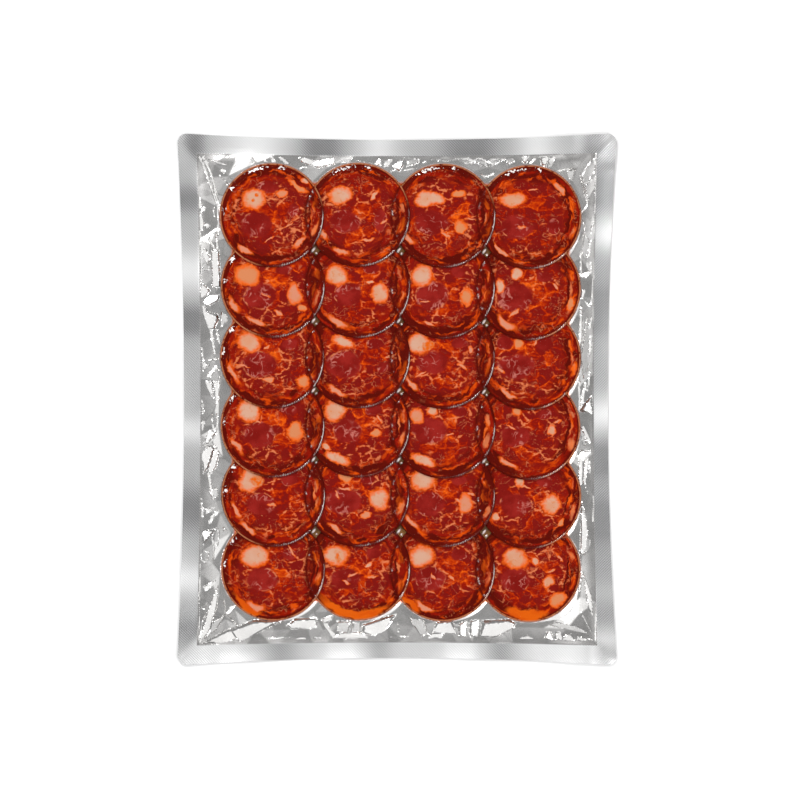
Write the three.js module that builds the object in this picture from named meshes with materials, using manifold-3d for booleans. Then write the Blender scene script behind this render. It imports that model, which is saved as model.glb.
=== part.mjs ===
// A vacuum pack of sliced chorizo, lying on its back: a silver foil backing, 24 round slices
// shingled in 4 columns and 6 rows, and a clear film drawn down over them and sealed to the foil
// all round. Millimetres, +Z up out of the pack's face, +Y to its top edge, origin on the middle
// of the flat back.
import * as THREE from "three";
import { mergeVertices } from "three/addons/utils/BufferGeometryUtils.js";
import Module from "manifold-3d";

const wasm = await Module();
wasm.setup();

// ---------------------------------------------------------------- driving dimensions
const PACK = { width: 195, length: 236, corner: 4 };
// How far the middle of each side is drawn in, and how far in from the edge that bow has gone.
const BOW = { left: 2.9, right: 3.8, top: 2.8, bottom: 3.1, reach: 18 };
const SEAL_WIDTH = 8.4;
const GAP = 0.3; // between neighbouring layers
const FOIL = 0.4;
const FILM = 0.4;

// The sealed rim stands a little off the table, more at its corners, and waves along each side.
const RIM = { rise: 0.9, cornerRise: 1.1, wave: 0.4, reach: 16 };
// Each side's wave: its length, and the place along the side where it climbs most steeply.
const WAVES = {
  left: { length: 69, climb: 57 },
  right: { length: 86, climb: 73 },
  top: { length: 66, climb: -63 },
  bottom: { length: 50, climb: -79 },
};

// A slice's rim is a circle with a few slight lobes, and it lies a little off its place.
const SLICE = { radius: 23.1, thickness: 2, sides: 24, lobe: 0.006, scatter: 0.4 };
// The slices' middles. The later columns were laid a little lower.
const COLUMNS = { pitch: 37.9, first: -55.3, drop: [0, 0, 0.3, 1] };
const ROWS = [81.7, 50.4, 19.2, -11.7, -42.3, -75];
// A slice that lies on another climbs its rim over this width, and the film comes down a free rim
// over this width for each layer.
const CLIMB = 1.6;
const FREE_RIM = 0.8;

const FIRST_LAYER = FOIL + GAP;
const STEP = SLICE.thickness + GAP; // from one layer of slices to the next
const DEPTH_BELOW = 2; // how far a cutting solid runs on past what it cuts
const WIDE = 10; // grows a slice's outline past anything that is cut from it
const SEGMENTS = { corner: 3, end: 9, side: 11 };

const MATERIALS = {
  foil: new THREE.MeshStandardMaterial({ color: 0xb9bbbd, roughness: 0.32, metalness: 1 }),
  chorizo: new THREE.MeshStandardMaterial({ color: 0x9c2412, roughness: 0.35, metalness: 0 }),
  film: new THREE.MeshStandardMaterial({
    color: 0xf4f6f8,
    roughness: 0.08,
    metalness: 0,
    transparent: true,
    opacity: 0.25,
  }),
};

// ---------------------------------------------------------------- small tools
const wave = (at, { length, climb }) => Math.sin((2 * Math.PI * (at - climb)) / length);

// The same draws in every run.
function seeded(seed) {
  let state = seed;
  return () => {
    state = (state * 1664525 + 1013904223) % 4294967296;
    return state / 4294967296;
  };
}

function solidOf(geometry) {
  const bare = geometry.clone();
  bare.deleteAttribute("normal");
  bare.deleteAttribute("uv");
  const merged = mergeVertices(bare, 1e-4);
  return new wasm.Manifold(
    new wasm.Mesh({
      numProp: 3,
      vertProperties: merged.attributes.position.array,
      triVerts: new Uint32Array(merged.index.array),
    }),
  );
}

function geometryOf(solid) {
  const { vertProperties, triVerts } = solid.getMesh();
  const geometry = new THREE.BufferGeometry();
  geometry.setAttribute("position", new THREE.BufferAttribute(vertProperties, 3));
  geometry.setIndex(new THREE.BufferAttribute(triVerts, 1));
  geometry.computeVertexNormals();
  return geometry;
}

const joined = (solids) => solids.reduce((all, solid) => all.add(solid));

// ---------------------------------------------------------------- the pack's outline
// One side from one corner arc to the next, bowed inwards by a quadratic curve.
function side(from, to, inward, bow, segments) {
  const middle = from.clone().add(to).multiplyScalar(0.5).addScaledVector(inward, 2 * bow);
  const points = new THREE.QuadraticBezierCurve(from, middle, to).getPoints(segments);
  return points.slice(1, -1);
}

// A closed loop of points that runs anticlockwise, `inset` inside the pack's edge.
function loopInside(inset) {
  const radius = Math.max(PACK.corner - inset / 2, 1.5);
  const x = PACK.width / 2 - inset - radius;
  const y = PACK.length / 2 - inset - radius;
  const bowShare = Math.max(0, 1 - inset / BOW.reach);
  const corner = (cx, cy, start) => {
    const arc = new THREE.EllipseCurve(cx, cy, radius, radius, start, start + Math.PI / 2);
    return arc.getPoints(SEGMENTS.corner);
  };
  const corners = [
    corner(x, y, 0),
    corner(-x, y, Math.PI / 2),
    corner(-x, -y, Math.PI),
    corner(x, -y, 1.5 * Math.PI),
  ];
  const sides = [
    [new THREE.Vector2(0, -1), BOW.top, SEGMENTS.end],
    [new THREE.Vector2(1, 0), BOW.left, SEGMENTS.side],
    [new THREE.Vector2(0, 1), BOW.bottom, SEGMENTS.end],
    [new THREE.Vector2(-1, 0), BOW.right, SEGMENTS.side],
  ];
  return corners.flatMap((arc, i) => {
    const next = corners[(i + 1) % corners.length];
    const [inward, bow, segments] = sides[i];
    return [...arc, ...side(arc.at(-1), next[0], inward, bow * bowShare, segments)];
  });
}

// How far a point of the rim stands off the table. The two high powers are 1 at a side or an end
// of the pack and soon fall to 0 away from it.
function rimLift(x, y, inset) {
  const edge = Math.max(0, 1 - inset / RIM.reach) ** 2;
  const nearSide = Math.abs(x / (PACK.width / 2)) ** 8;
  const nearEnd = Math.abs(y / (PACK.length / 2)) ** 8;
  const along =
    nearSide * wave(y, x < 0 ? WAVES.left : WAVES.right) +
    nearEnd * wave(x, y < 0 ? WAVES.bottom : WAVES.top);
  return edge * (RIM.rise + RIM.cornerRise * nearSide * nearEnd + RIM.wave * along);
}

// A closed sheet of the pack's outline, both faces split into triangles alike.
function sheet(bottom, thickness) {
  const insets = [0, SEAL_WIDTH / 2, SEAL_WIDTH, RIM.reach];
  const loops = insets.map(loopInside);
  const stations = loops[0].length;
  const lower = loops.flatMap((loop, row) =>
    loop.map((p) => [p.x, p.y, bottom + rimLift(p.x, p.y, insets[row])]),
  );
  const upper = lower.map(([x, y, z]) => [x, y, z + thickness]);
  const face = [];
  for (let row = 0; row + 1 < loops.length; row++) {
    for (let i = 0; i < stations; i++) {
      const next = (i + 1) % stations;
      const [a, b] = [row * stations + i, row * stations + next];
      face.push([a, b, b + stations], [a, b + stations, a + stations]);
    }
  }
  const inner = (loops.length - 1) * stations;
  for (const [a, b, c] of THREE.ShapeUtils.triangulateShape(loops.at(-1), [])) {
    face.push([inner + a, inner + b, inner + c]);
  }
  const above = lower.length;
  const index = [];
  for (const [a, b, c] of face) index.push(above + a, above + b, above + c, a, c, b);
  for (let a = 0; a < stations; a++) {
    const b = (a + 1) % stations;
    index.push(a, b, above + b, a, above + b, above + a);
  }
  const geometry = new THREE.BufferGeometry();
  const positions = [...lower, ...upper].flat();
  geometry.setAttribute("position", new THREE.Float32BufferAttribute(positions, 3));
  geometry.setIndex(index);
  geometry.computeVertexNormals();
  return geometry;
}

// ---------------------------------------------------------------- the slices
const draw = seeded(24);
const scatter = () => SLICE.scatter * (draw() - 0.5);
const slices = ROWS.flatMap((rowY, row) =>
  COLUMNS.drop.map((drop, column) => ({
    row,
    column,
    x: COLUMNS.first + column * COLUMNS.pitch + scatter(),
    y: rowY - drop + scatter(),
    lobes: [2, 3, 5].map((count) => ({
      count,
      size: SLICE.lobe * (0.4 + draw()),
      turn: 2 * Math.PI * draw(),
    })),
  })),
);

const rimRadius = ({ lobes }, angle) =>
  lobes.reduce((r, { count, size, turn }) => r + size * Math.cos(count * angle + turn), 1);

// A cone of a slice's own outline between two heights, its rim grown by `low` at the bottom and by
// `high` at the top.
function cone(slice, bottom, top, low, high) {
  const { radius, sides } = SLICE;
  const geometry = new THREE.CylinderGeometry(radius + high, radius + low, top - bottom, sides);
  geometry.rotateX(Math.PI / 2);
  const at = geometry.attributes.position;
  for (let i = 0; i < at.count; i++) {
    const round = rimRadius(slice, Math.atan2(at.getY(i), at.getX(i)));
    at.setXYZ(i, at.getX(i) * round + slice.x, at.getY(i) * round + slice.y, at.getZ(i));
  }
  return solidOf(geometry.translate(0, 0, (bottom + top) / 2));
}

// The slices that a slice lies on: its right-hand neighbour and the one below it.
const under = ({ row, column }) =>
  slices.filter((s) => s.row - row + s.column - column === 1 && s.row >= row && s.column >= column);

// The room that a flat slice takes, with the climb round its rim, raised by `lift` and grown
// sideways by `grow`. Its slope runs on for `depth` below.
function room(slice, lift, grow, depth) {
  const slope = CLIMB / STEP;
  const low = GAP + grow + CLIMB + slope * depth;
  return cone(slice, FIRST_LAYER + lift - depth, FIRST_LAYER + lift + STEP, low, GAP + grow);
}

// A slice laid over its lower neighbours.
function laidSlice(slice) {
  const lower = under(slice);
  const top = FIRST_LAYER + SLICE.thickness;
  const slab = cone(slice, FIRST_LAYER, top, 0, 0);
  if (!lower.length) return slab;
  const column = cone(slice, FIRST_LAYER, top + STEP + DEPTH_BELOW, 0, 0);
  const raised = joined(lower.map((s) => room(s, SLICE.thickness, 0, SLICE.thickness / 2)));
  const cut = joined(lower.map((s) => room(s, 0, 0, DEPTH_BELOW)));
  return slab.add(column.intersect(raised)).subtract(cut);
}

// The room under the film for one laid slice, or the same room raised by `lift` and grown by
// `grow`, which is the film's outside. It runs down to `bottom`.
function roomOverLaid(slice, lift, grow, bottom) {
  const top = FIRST_LAYER + 2 * STEP + lift;
  const flare = (FREE_RIM / STEP) * (top - bottom);
  const column = cone(slice, bottom, top, GAP + grow + flare, GAP + grow);
  const flat = cone(slice, bottom, FIRST_LAYER + STEP + lift, WIDE, WIDE);
  const raised = under(slice).map((s) => room(s, STEP + lift, grow, STEP / 2));
  return column.intersect(joined([flat, ...raised]));
}

function clearFilm() {
  const flat = solidOf(sheet(FIRST_LAYER, FILM));
  const outside = slices.map((s) => roomOverLaid(s, FILM, FILM, FIRST_LAYER + FILM / 2));
  const inside = slices.map((s) => roomOverLaid(s, 0, 0, FIRST_LAYER - DEPTH_BELOW));
  return joined([flat, ...outside]).subtract(joined(inside));
}

// ---------------------------------------------------------------- the pack
const pack = new THREE.Group();

function addPiece(name, geometry, material) {
  const piece = new THREE.Mesh(geometry, material);
  piece.name = name;
  pack.add(piece);
}

addPiece("backing_foil", sheet(0, FOIL), MATERIALS.foil);
for (const slice of slices) {
  const name = `slice_r${slice.row + 1}_c${slice.column + 1}`;
  addPiece(name, geometryOf(laidSlice(slice)), MATERIALS.chorizo);
}
addPiece("clear_film", geometryOf(clearFilm()), MATERIALS.film);

export default pack;
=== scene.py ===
"""A vacuum pack of sliced chorizo: 24 slices shingled on a silver foil backing, under clear film."""
import functools
import math

import bpy
import numpy as np
from bpy.props import FloatProperty, FloatVectorProperty, PointerProperty
from bpy.types import Operator, Panel, PropertyGroup
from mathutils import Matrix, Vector
from mathutils.geometry import delaunay_2d_cdt


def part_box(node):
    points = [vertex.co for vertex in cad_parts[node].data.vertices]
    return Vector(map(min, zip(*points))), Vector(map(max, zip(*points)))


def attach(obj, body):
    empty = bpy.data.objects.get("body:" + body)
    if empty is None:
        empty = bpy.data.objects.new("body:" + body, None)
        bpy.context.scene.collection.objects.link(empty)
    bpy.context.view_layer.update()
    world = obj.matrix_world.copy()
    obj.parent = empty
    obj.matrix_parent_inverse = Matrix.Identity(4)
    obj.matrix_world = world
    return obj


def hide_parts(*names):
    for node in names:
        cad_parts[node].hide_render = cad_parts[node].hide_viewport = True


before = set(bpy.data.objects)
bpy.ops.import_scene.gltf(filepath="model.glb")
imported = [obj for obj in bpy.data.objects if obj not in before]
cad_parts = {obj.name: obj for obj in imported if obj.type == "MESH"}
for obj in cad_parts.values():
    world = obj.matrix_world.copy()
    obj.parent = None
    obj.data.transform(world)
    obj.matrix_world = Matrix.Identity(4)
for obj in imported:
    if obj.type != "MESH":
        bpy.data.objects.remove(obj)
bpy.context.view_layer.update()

bl_info = {
    "name": "Sliced chorizo pack",
    "version": (1, 0, 0),
    "blender": (4, 5, 0),
    "location": "3D View > Sidebar > Chorizo",
    "description": "Dresses the packed solids of a vacuum pack of sliced chorizo",
    "category": "Object",
}

BODY = "root"
MM = 0.001  # all shapes are worked out in millimetres and stored in metres
TINY = 1e-6
MERGE_GAP = 1e-5  # points closer than this become one in a mesh

# ---------------------------------------------------------------- the pack's driving sizes
HALF_WIDTH = 97.5
HALF_LENGTH = 118.0
HALF_SIZE = np.array([HALF_WIDTH, HALF_LENGTH])
CORNER = 4.0
LEAST_CORNER = 1.5  # the radius that a loop's corners keep however far inside it lies
# How far each side is drawn in at its middle, and how far inside the edge that fades out.
BOW = {"left": 2.9, "right": 3.8, "top": 2.8, "bottom": 3.1}
BOW_REACH = 18.0
# The sealed rim stands off the table: how far in that reaches, and the heights at the edge, at a
# corner above the edge, and of the waves along the edge.
RIM_REACH = 16.0
RIM_RISE = 0.9
CORNER_RISE = 1.1
RIM_WAVE = 0.4
RIM_POWER = 8  # how closely the corners' rise and the waves keep to the rim
# Each side's wave: its length, and the place along the side where it climbs most steeply.
WAVES = {
    "left": (69.0, 57.0),
    "right": (86.0, 73.0),
    "top": (66.0, -63.0),
    "bottom": (50.0, -79.0),
}
SEAL_WIDTH = 8.4
# Where each side of the seal catches the light or falls dark, both as gentle steps in its height
# and as light and shade painted into its colour: the place along the side, the half width of the
# band and its strength, which is negative in a dark band.
BANDS = {
    "left": [(57, 9, 1.0), (-14, 6, 0.9), (-80, 7, 1.0), (89, 6, -0.8), (35, 7, -0.9),
             (-49, 10, -0.8), (-103, 6, -0.5)],
    "right": [(73, 7, 0.75), (-7, 8, 1.0), (-107, 6, 0.8), (93, 6, -0.8), (40, 8, -0.8),
              (-27, 6, -0.7), (-54, 8, -0.7), (-86, 6, 0.3)],
    "bottom": [(-79, 8, 0.9), (-25, 6, 0.8), (28, 6, 0.9), (72, 11, 1.0), (-52, 9, -0.8),
               (-8, 6, -0.7), (46, 7, -0.8), (92, 5, -0.7)],
    "top": [(-63, 15, 1.0), (-8, 9, 0.9), (62, 9, 1.0), (-90, 5, -0.8), (-34, 9, -0.9),
            (32, 12, -0.9), (88, 5, -0.6)],
}
# The painted light of each side between its bands, from 0 for dark to 1, and what a band adds.
PAINTED_BAND_LEVELS = {"left": 0.42, "right": 0.2, "bottom": 0.75, "top": 0.42}
PAINTED_BAND_CONTRAST = 0.55
# The slope of a bright band's step, and how far inside the seal the steps fade out.
BAND_SLOPE = 0.02
BAND_FADE = 5.0
SIDE_BLEND = (0.80, 0.90)  # the shares of the half width where the side bands take over
END_BLEND = (0.86, 0.93)  # the same for the end bands, of the half length
CORNER_BLEND = 6.0

# The foil's bright facets: the slope, and the corners anticlockwise in millimetres.
FACETS = [
    (0.27, [(-88, 84.5), (-86.6, 85.4), (-87.3, 89.8), (-88, 89.8)]),
    (0.27, [(-88.2, 82.3), (-86.2, 83.2), (-84.6, 85.4), (-86.2, 85.6)]),
    (0.27, [(-87.9, 82.3), (-87.5, 75.6), (-86.6, 74.3), (-85.5, 77.8), (-86.6, 82.3)]),
    (0.27, [(-87.9, 75.2), (-87.5, 67.6), (-86.6, 69), (-87.3, 75.2)]),
    (0.27, [(-86.2, 77.4), (-84.8, 76.1), (-82.6, 76.5), (-84, 78.3)]),
    (0.27, [(-85.7, 72.5), (-84.8, 71.2), (-79.3, 75.2), (-79.7, 76.7)]),
    (0.27, [(-84.6, 72.5), (-81.5, 65.9), (-80, 65.9), (-83.3, 72.1)]),
    (0.27, [(-80.8, 73.4), (-80.6, 66.3), (-79.2, 66.3), (-80, 73.4)]),
    (0.27, [(-86.8, 66.7), (-86.2, 63.2), (-84, 60.1), (-82.6, 63.2), (-84.8, 67)]),
    (0.13, [(-86.8, 60.1), (-86.2, 57), (-83.1, 57.4), (-84, 60.7)]),
    (0.27, [(-82.6, 66.3), (-82.2, 49.9), (-78.2, 49.4), (-78.8, 66.3)]),
    (0.27, [(-87.2, 45), (-84.8, 45.6), (-82.6, 48.3), (-87.2, 52.5)]),
    (0.27, [(-86.7, 43.2), (-84.8, 40.5), (-79.1, 43.6), (-78.8, 46.8), (-83.5, 46.3)]),
    (0.27, [(-86.8, 42.3), (-86.2, 37.9), (-84.8, 36.1), (-84.6, 40.5)]),
    (0.27, [(-86.4, 39.2), (-83.7, 31), (-81.1, 31), (-78.8, 35.6), (-79.5, 38.3)]),
    (0.27, [(-83.5, 31.6), (-81.5, 19.7), (-80.4, 19.7), (-82.2, 31.6)]),
    (0.27, [(-80.6, 31.6), (-79.7, 25), (-78.6, 25), (-80, 31.6)]),
    (0.13, [(-78.2, 32.1), (-75.1, 34.8), (-75.5, 37.4), (-78.2, 39.2)]),
    (0.27, [(-87.2, 24.5), (-86.4, 12.5), (-85.7, 14.8), (-86.6, 24.5)]),
    (0.27, [(-86.3, 12.5), (-83.3, 15.2), (-86.2, 17)]),
    (0.27, [(-84.8, 10.3), (-83.1, 9.4), (-79.3, 14.8), (-80.8, 15.4)]),
    (0.27, [(-85.7, 8.3), (-82.4, 1), (-81.5, 0.6), (-81.7, 8.1)]),
    (0.27, [(-81.4, 8.1), (-80.6, -3.9), (-78.8, 0.1), (-78.6, 7.9)]),
    (0.27, [(-87.2, 0.1), (-86.6, -7), (-85.5, -5.7), (-86.4, 0.1)]),
    (0.27, [(-87.1, -9.2), (-86.8, -13.7), (-86, -14.1), (-85.3, -9.7)]),
    (0.27, [(-86.4, -20.8), (-85.7, -21.7), (-82.6, -18.3), (-79.2, -14.1), (-83.7, -13.7)]),
    (0.27, [(-86.8, -23.9), (-86.4, -33.2), (-83.7, -31), (-80.2, -20.3), (-84, -20.5)]),
    (0.27, [(-84, -31), (-83.1, -34.1), (-80.2, -30.5), (-78.8, -23.9), (-80, -20.8)]),
    (0.27, [(-84.6, -32.3), (-82.8, -43), (-81.5, -43), (-83.1, -32.8)]),
    (0.13, [(-82.6, -40.3), (-82.2, -44.8), (-79.1, -43), (-80, -39)]),
    (0.27, [(-87.3, -44.3), (-87.1, -53.6), (-86, -52.3), (-86.6, -44.3)]),
    (0.27, [(-86, -48.3), (-84.8, -51.4), (-80.6, -47.9)]),
    (0.27, [(-84.4, -55.2), (-83.1, -55.6), (-78.7, -49.6), (-80.6, -49.2)]),
    (0.27, [(-86.8, -59), (-86.4, -65.2), (-82.2, -60.7), (-80, -57)]),
    (0.27, [(-77.5, -56.3), (-77.3, -58.7), (-75.5, -58.3)]),
    (0.13, [(-87.2, -71.4), (-84.8, -73), (-83.1, -67.9), (-87.1, -67)]),
    (0.27, [(-86.4, -83.2), (-85.3, -85.4), (-81.7, -83), (-80.5, -80.3)]),
    (0.13, [(-87.3, -92.7), (-85.3, -93.6), (-83.5, -89.2)]),
    (0.27, [(-88, -108.5), (-83.1, -103.4), (-79.7, -92.3), (-79.2, -81.2), (-84.2, -94.5)]),
    (0.13, [(-85.7, -106.9), (-80.4, -102.5), (-76, -95.2), (-81.7, -98.9)]),
    (0.27, [(-76.4, -95.2), (-74.6, -95.8), (-71.5, -91.8), (-73.1, -91.2)]),
    (0.27, [(-87.7, -108.7), (-78.8, -108.7), (-69.7, -106.1), (-68.4, -100.3), (-76.4, -102.7)]),
    (0.27, [(-76.4, -102.7), (-69.7, -107.8), (-49.5, -98.1), (-63.5, -97.8)]),
    (0.27, [(-49.3, -100.6), (-47.1, -102.1), (-35.8, -102.1), (-34.9, -96.7), (-45.5, -97.2)]),
    (0.27, [(-34.4, -97.8), (-32.4, -99.4), (-29.1, -98.5), (-28.2, -95.6)]),
    (0.27, [(-33.3, -99.8), (-28.4, -106.5), (-26.9, -105.4), (-31.1, -99.2)]),
    (0.13, [(-27.1, -98.5), (-26.2, -103.4), (-22, -103.8), (-20.4, -98.5)]),
    (0.13, [(-20.9, -103.8), (-16.4, -103.4), (-16.2, -98.9), (-19.5, -98.9)]),
    (0.27, [(-28.9, -106.3), (-13.3, -106.4), (-12.9, -105.2), (-16, -103.4), (-24.9, -103.6)]),
    (0.27, [(-16, -99.8), (-15.5, -104.3), (-9.8, -105.2), (-4.9, -102.9), (0.7, -94.7)]),
    (0.13, [(5.6, -97.2), (7.8, -101.2), (10.8, -105.6), (14, -104.3), (11.8, -97.4)]),
    (0.27, [(15.5, -103.6), (26.4, -104.3), (24.9, -97.6), (17.3, -98.5)]),
    (0.27, [(12.9, -106.2), (20, -106.2), (21.3, -103.6), (15.8, -103.6)]),
    (0.27, [(27.3, -105.6), (30.9, -105.6), (31.3, -97.8), (27.3, -99.8)]),
    (0.27, [(32, -105.6), (36, -105.6), (36.6, -98.1), (32.4, -98.1)]),
    (0.27, [(36.9, -105.6), (43.5, -105.6), (52, -102.1), (53.3, -99.6), (50, -97.4),
        (37.5, -98.1)]),
    (0.27, [(53.7, -106.7), (61.3, -106.7), (57.7, -104.9)]),
    (0.27, [(65.1, -106.9), (69.3, -106.9), (68.6, -102.9), (66.2, -103.4)]),
    (0.27, [(69.5, -106.9), (73.5, -106.9), (72.6, -103.2), (70.2, -103.4)]),
    (0.27, [(73.7, -107.2), (79.5, -107.2), (77.3, -104.1), (74.6, -104.3)]),
    (0.27, [(80, -107.2), (88, -107.2), (80.4, -105.4)]),
    (0.13, [(67.5, -100.3), (76.8, -102.9), (85.3, -104.1), (79.1, -100.7), (70.6, -98.9)]),
    (0.27, [(80.2, -85.6), (81.3, -85.6), (83, -77.2), (82.3, -76.7)]),
    (0.27, [(82.4, -77.6), (84.8, -92.7), (87.3, -97.2), (86.2, -86.5), (83.1, -77.6)]),
    (0.13, [(82, -95.8), (85.7, -102.9), (87.5, -104.3), (83.1, -95.4)]),
    (0.27, [(81.1, -69.2), (83.7, -69.2), (84.9, -59), (84, -52.6), (82.2, -44.8), (81.6, -44.8)]),
    (0.13, [(83.1, -62.5), (83.5, -67.9), (85.3, -67.9), (86.2, -62.5)]),
    (0.27, [(79.5, -26.1), (81.3, -27), (85.3, -25.2), (86.5, -22.8), (81.3, -22.3)]),
    (0.27, [(80.6, -38.1), (82.4, -37.9), (82.6, -26.5), (80.6, -26.5)]),
    (0.27, [(82.6, -37.9), (83.7, -37.6), (85.3, -26.5), (83.1, -26.5)]),
    (0.27, [(85.3, -32.8), (86.2, -32.8), (86.3, -27.4), (85.3, -27.4)]),
    (0.27, [(81.5, -12.3), (85.1, -19.9), (86.6, -19), (83.1, -11.9)]),
    (0.13, [(81.1, -12.8), (82.6, -20.8), (84.4, -19.9), (82.4, -12.8)]),
    (0.27, [(80.8, -5.4), (86.8, -6.8), (86.8, 2.1), (83.1, -1.7)]),
    (0.27, [(80.5, 8.1), (80.6, -5.2), (81.6, -5.2), (81.6, 8.1)]),
    (0.27, [(81.1, -5.2), (82.8, -2.1), (84.4, 7.7), (83.3, 7.7), (81.6, 0.6)]),
    (0.27, [(84.8, 5.9), (85.7, 5.9), (86, 12.1), (85, 12.1)]),
    (0.27, [(84.8, 17.9), (86.4, 21), (86.8, 28.5), (85.5, 28.5)]),
    (0.27, [(84.6, 31.2), (86, 31.2), (87, 36.1), (86.1, 36.5)]),
    (0.27, [(80.1, 19.2), (81, 19.2), (82.3, 27.2), (82.3, 41.4), (81.4, 41.4)]),
    (0.27, [(81.5, 20.5), (82.2, 20.5), (83.7, 28.5), (85, 36.5), (84, 36.5)]),
    (0.27, [(80.8, 54.3), (84, 53.9), (87.1, 57.2), (83.1, 56.5)]),
    (0.27, [(81.3, 44.1), (83.1, 45.4), (84, 48.5), (82, 49)]),
    (0.13, [(81.7, 65), (83.5, 62.1), (85.3, 65.9), (85.5, 70.7), (83.5, 73.8)]),
    (0.27, [(81, 54.7), (82.3, 54.7), (82.2, 65.4), (81, 65.4)]),
    (0.27, [(85.7, 73.4), (86.4, 73.4), (87.5, 78.7), (88.4, 85.8), (87.8, 85.8)]),
    (0.13, [(84, 61), (84.8, 57.4), (86.6, 57.4), (86.2, 61)]),
    (0.13, [(81.5, 99.6), (83.5, 94.7), (87.8, 100.9), (88.5, 108.7), (84.8, 104.5)]),
    (0.13, [(83.1, 94.7), (84.8, 88.1), (88.2, 93.8), (88.2, 99.2)]),
    (0.27, [(70.2, 101.5), (72.4, 100.9), (80, 102.9), (75.1, 102.7)]),
    (0.13, [(75.1, 101.4), (76, 98.3), (77.7, 96.9), (79.5, 102.3)]),
    (0.27, [(62.8, 107.9), (64.4, 103.8), (66.4, 103.2), (67.5, 107.9)]),
    (0.13, [(67.3, 103.2), (68.9, 103.2), (70.6, 107.8), (67.7, 107.8)]),
    (0.27, [(58.6, 104.8), (60, 104.6), (62.3, 107.2), (61.3, 107.6)]),
    (0.27, [(54.6, 108.1), (56, 105), (57.7, 105), (58.9, 108.1)]),
    (0.13, [(48.6, 106.9), (48.9, 104.1), (52.9, 105.8), (50.2, 107.9)]),
    (0.13, [(40.9, 105.4), (42.6, 104.3), (48.6, 106.9), (44.4, 106.9)]),
    (0.13, [(34.2, 105.2), (40, 103.7), (39.5, 106.5), (35.5, 107.2)]),
    (0.13, [(25.8, 106.9), (28.9, 104.9), (34.2, 105.2), (31.5, 106.8)]),
    (0.27, [(-2, 103.8), (1.2, 100.5), (2.9, 103.8), (3.6, 107.8)]),
    (0.27, [(-3.6, 101.2), (-2.7, 100.8), (0, 102.3), (-0.3, 103)]),
    (0.27, [(-10, 104.5), (-7.6, 103.8), (-6.4, 106.7), (-8.4, 107)]),
    (0.13, [(4, 103.2), (8.9, 104.3), (10.2, 106.7), (4.9, 107.2)]),
    (0.13, [(-25.3, 104.9), (-20.9, 105.2), (-20, 107.4), (-25.3, 106.9)]),
    (0.13, [(-5.8, 103.2), (-3.1, 103.6), (-1.8, 106.9), (-5.8, 106.1)]),
    (0.27, [(-44.2, 107.4), (-41.8, 104.5), (-37.8, 103.6), (-36.6, 106.3), (-40.9, 107.3)]),
    (0.27, [(-37.8, 103.6), (-35.1, 102.5), (-27.1, 104.3), (-28, 107.5), (-36.6, 106.1)]),
    (0.27, [(-53.1, 107.7), (-49.8, 104.6), (-47.5, 104.6), (-51.1, 107.7)]),
    (0.27, [(-56.5, 107.7), (-55.1, 105.4), (-53.3, 105.4), (-55.3, 107.7)]),
    (0.27, [(-59.7, 105.4), (-57.5, 105.6), (-58.7, 107.2)]),
    (0.27, [(-77.3, 107.3), (-69.7, 107.2), (-66.6, 108.3), (-74.2, 108.4)]),
    (0.13, [(-65.7, 106.9), (-63.5, 104.7), (-62.2, 105.2), (-64.4, 107.8)]),
    (0.27, [(-78.8, 101.4), (-76.8, 100.5), (-76, 101.8), (-77.7, 102.7)]),
    (0.13, [(-85.3, 107.2), (-79.5, 104.5), (-75.1, 104.1), (-80.4, 106.3)]),
]
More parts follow.
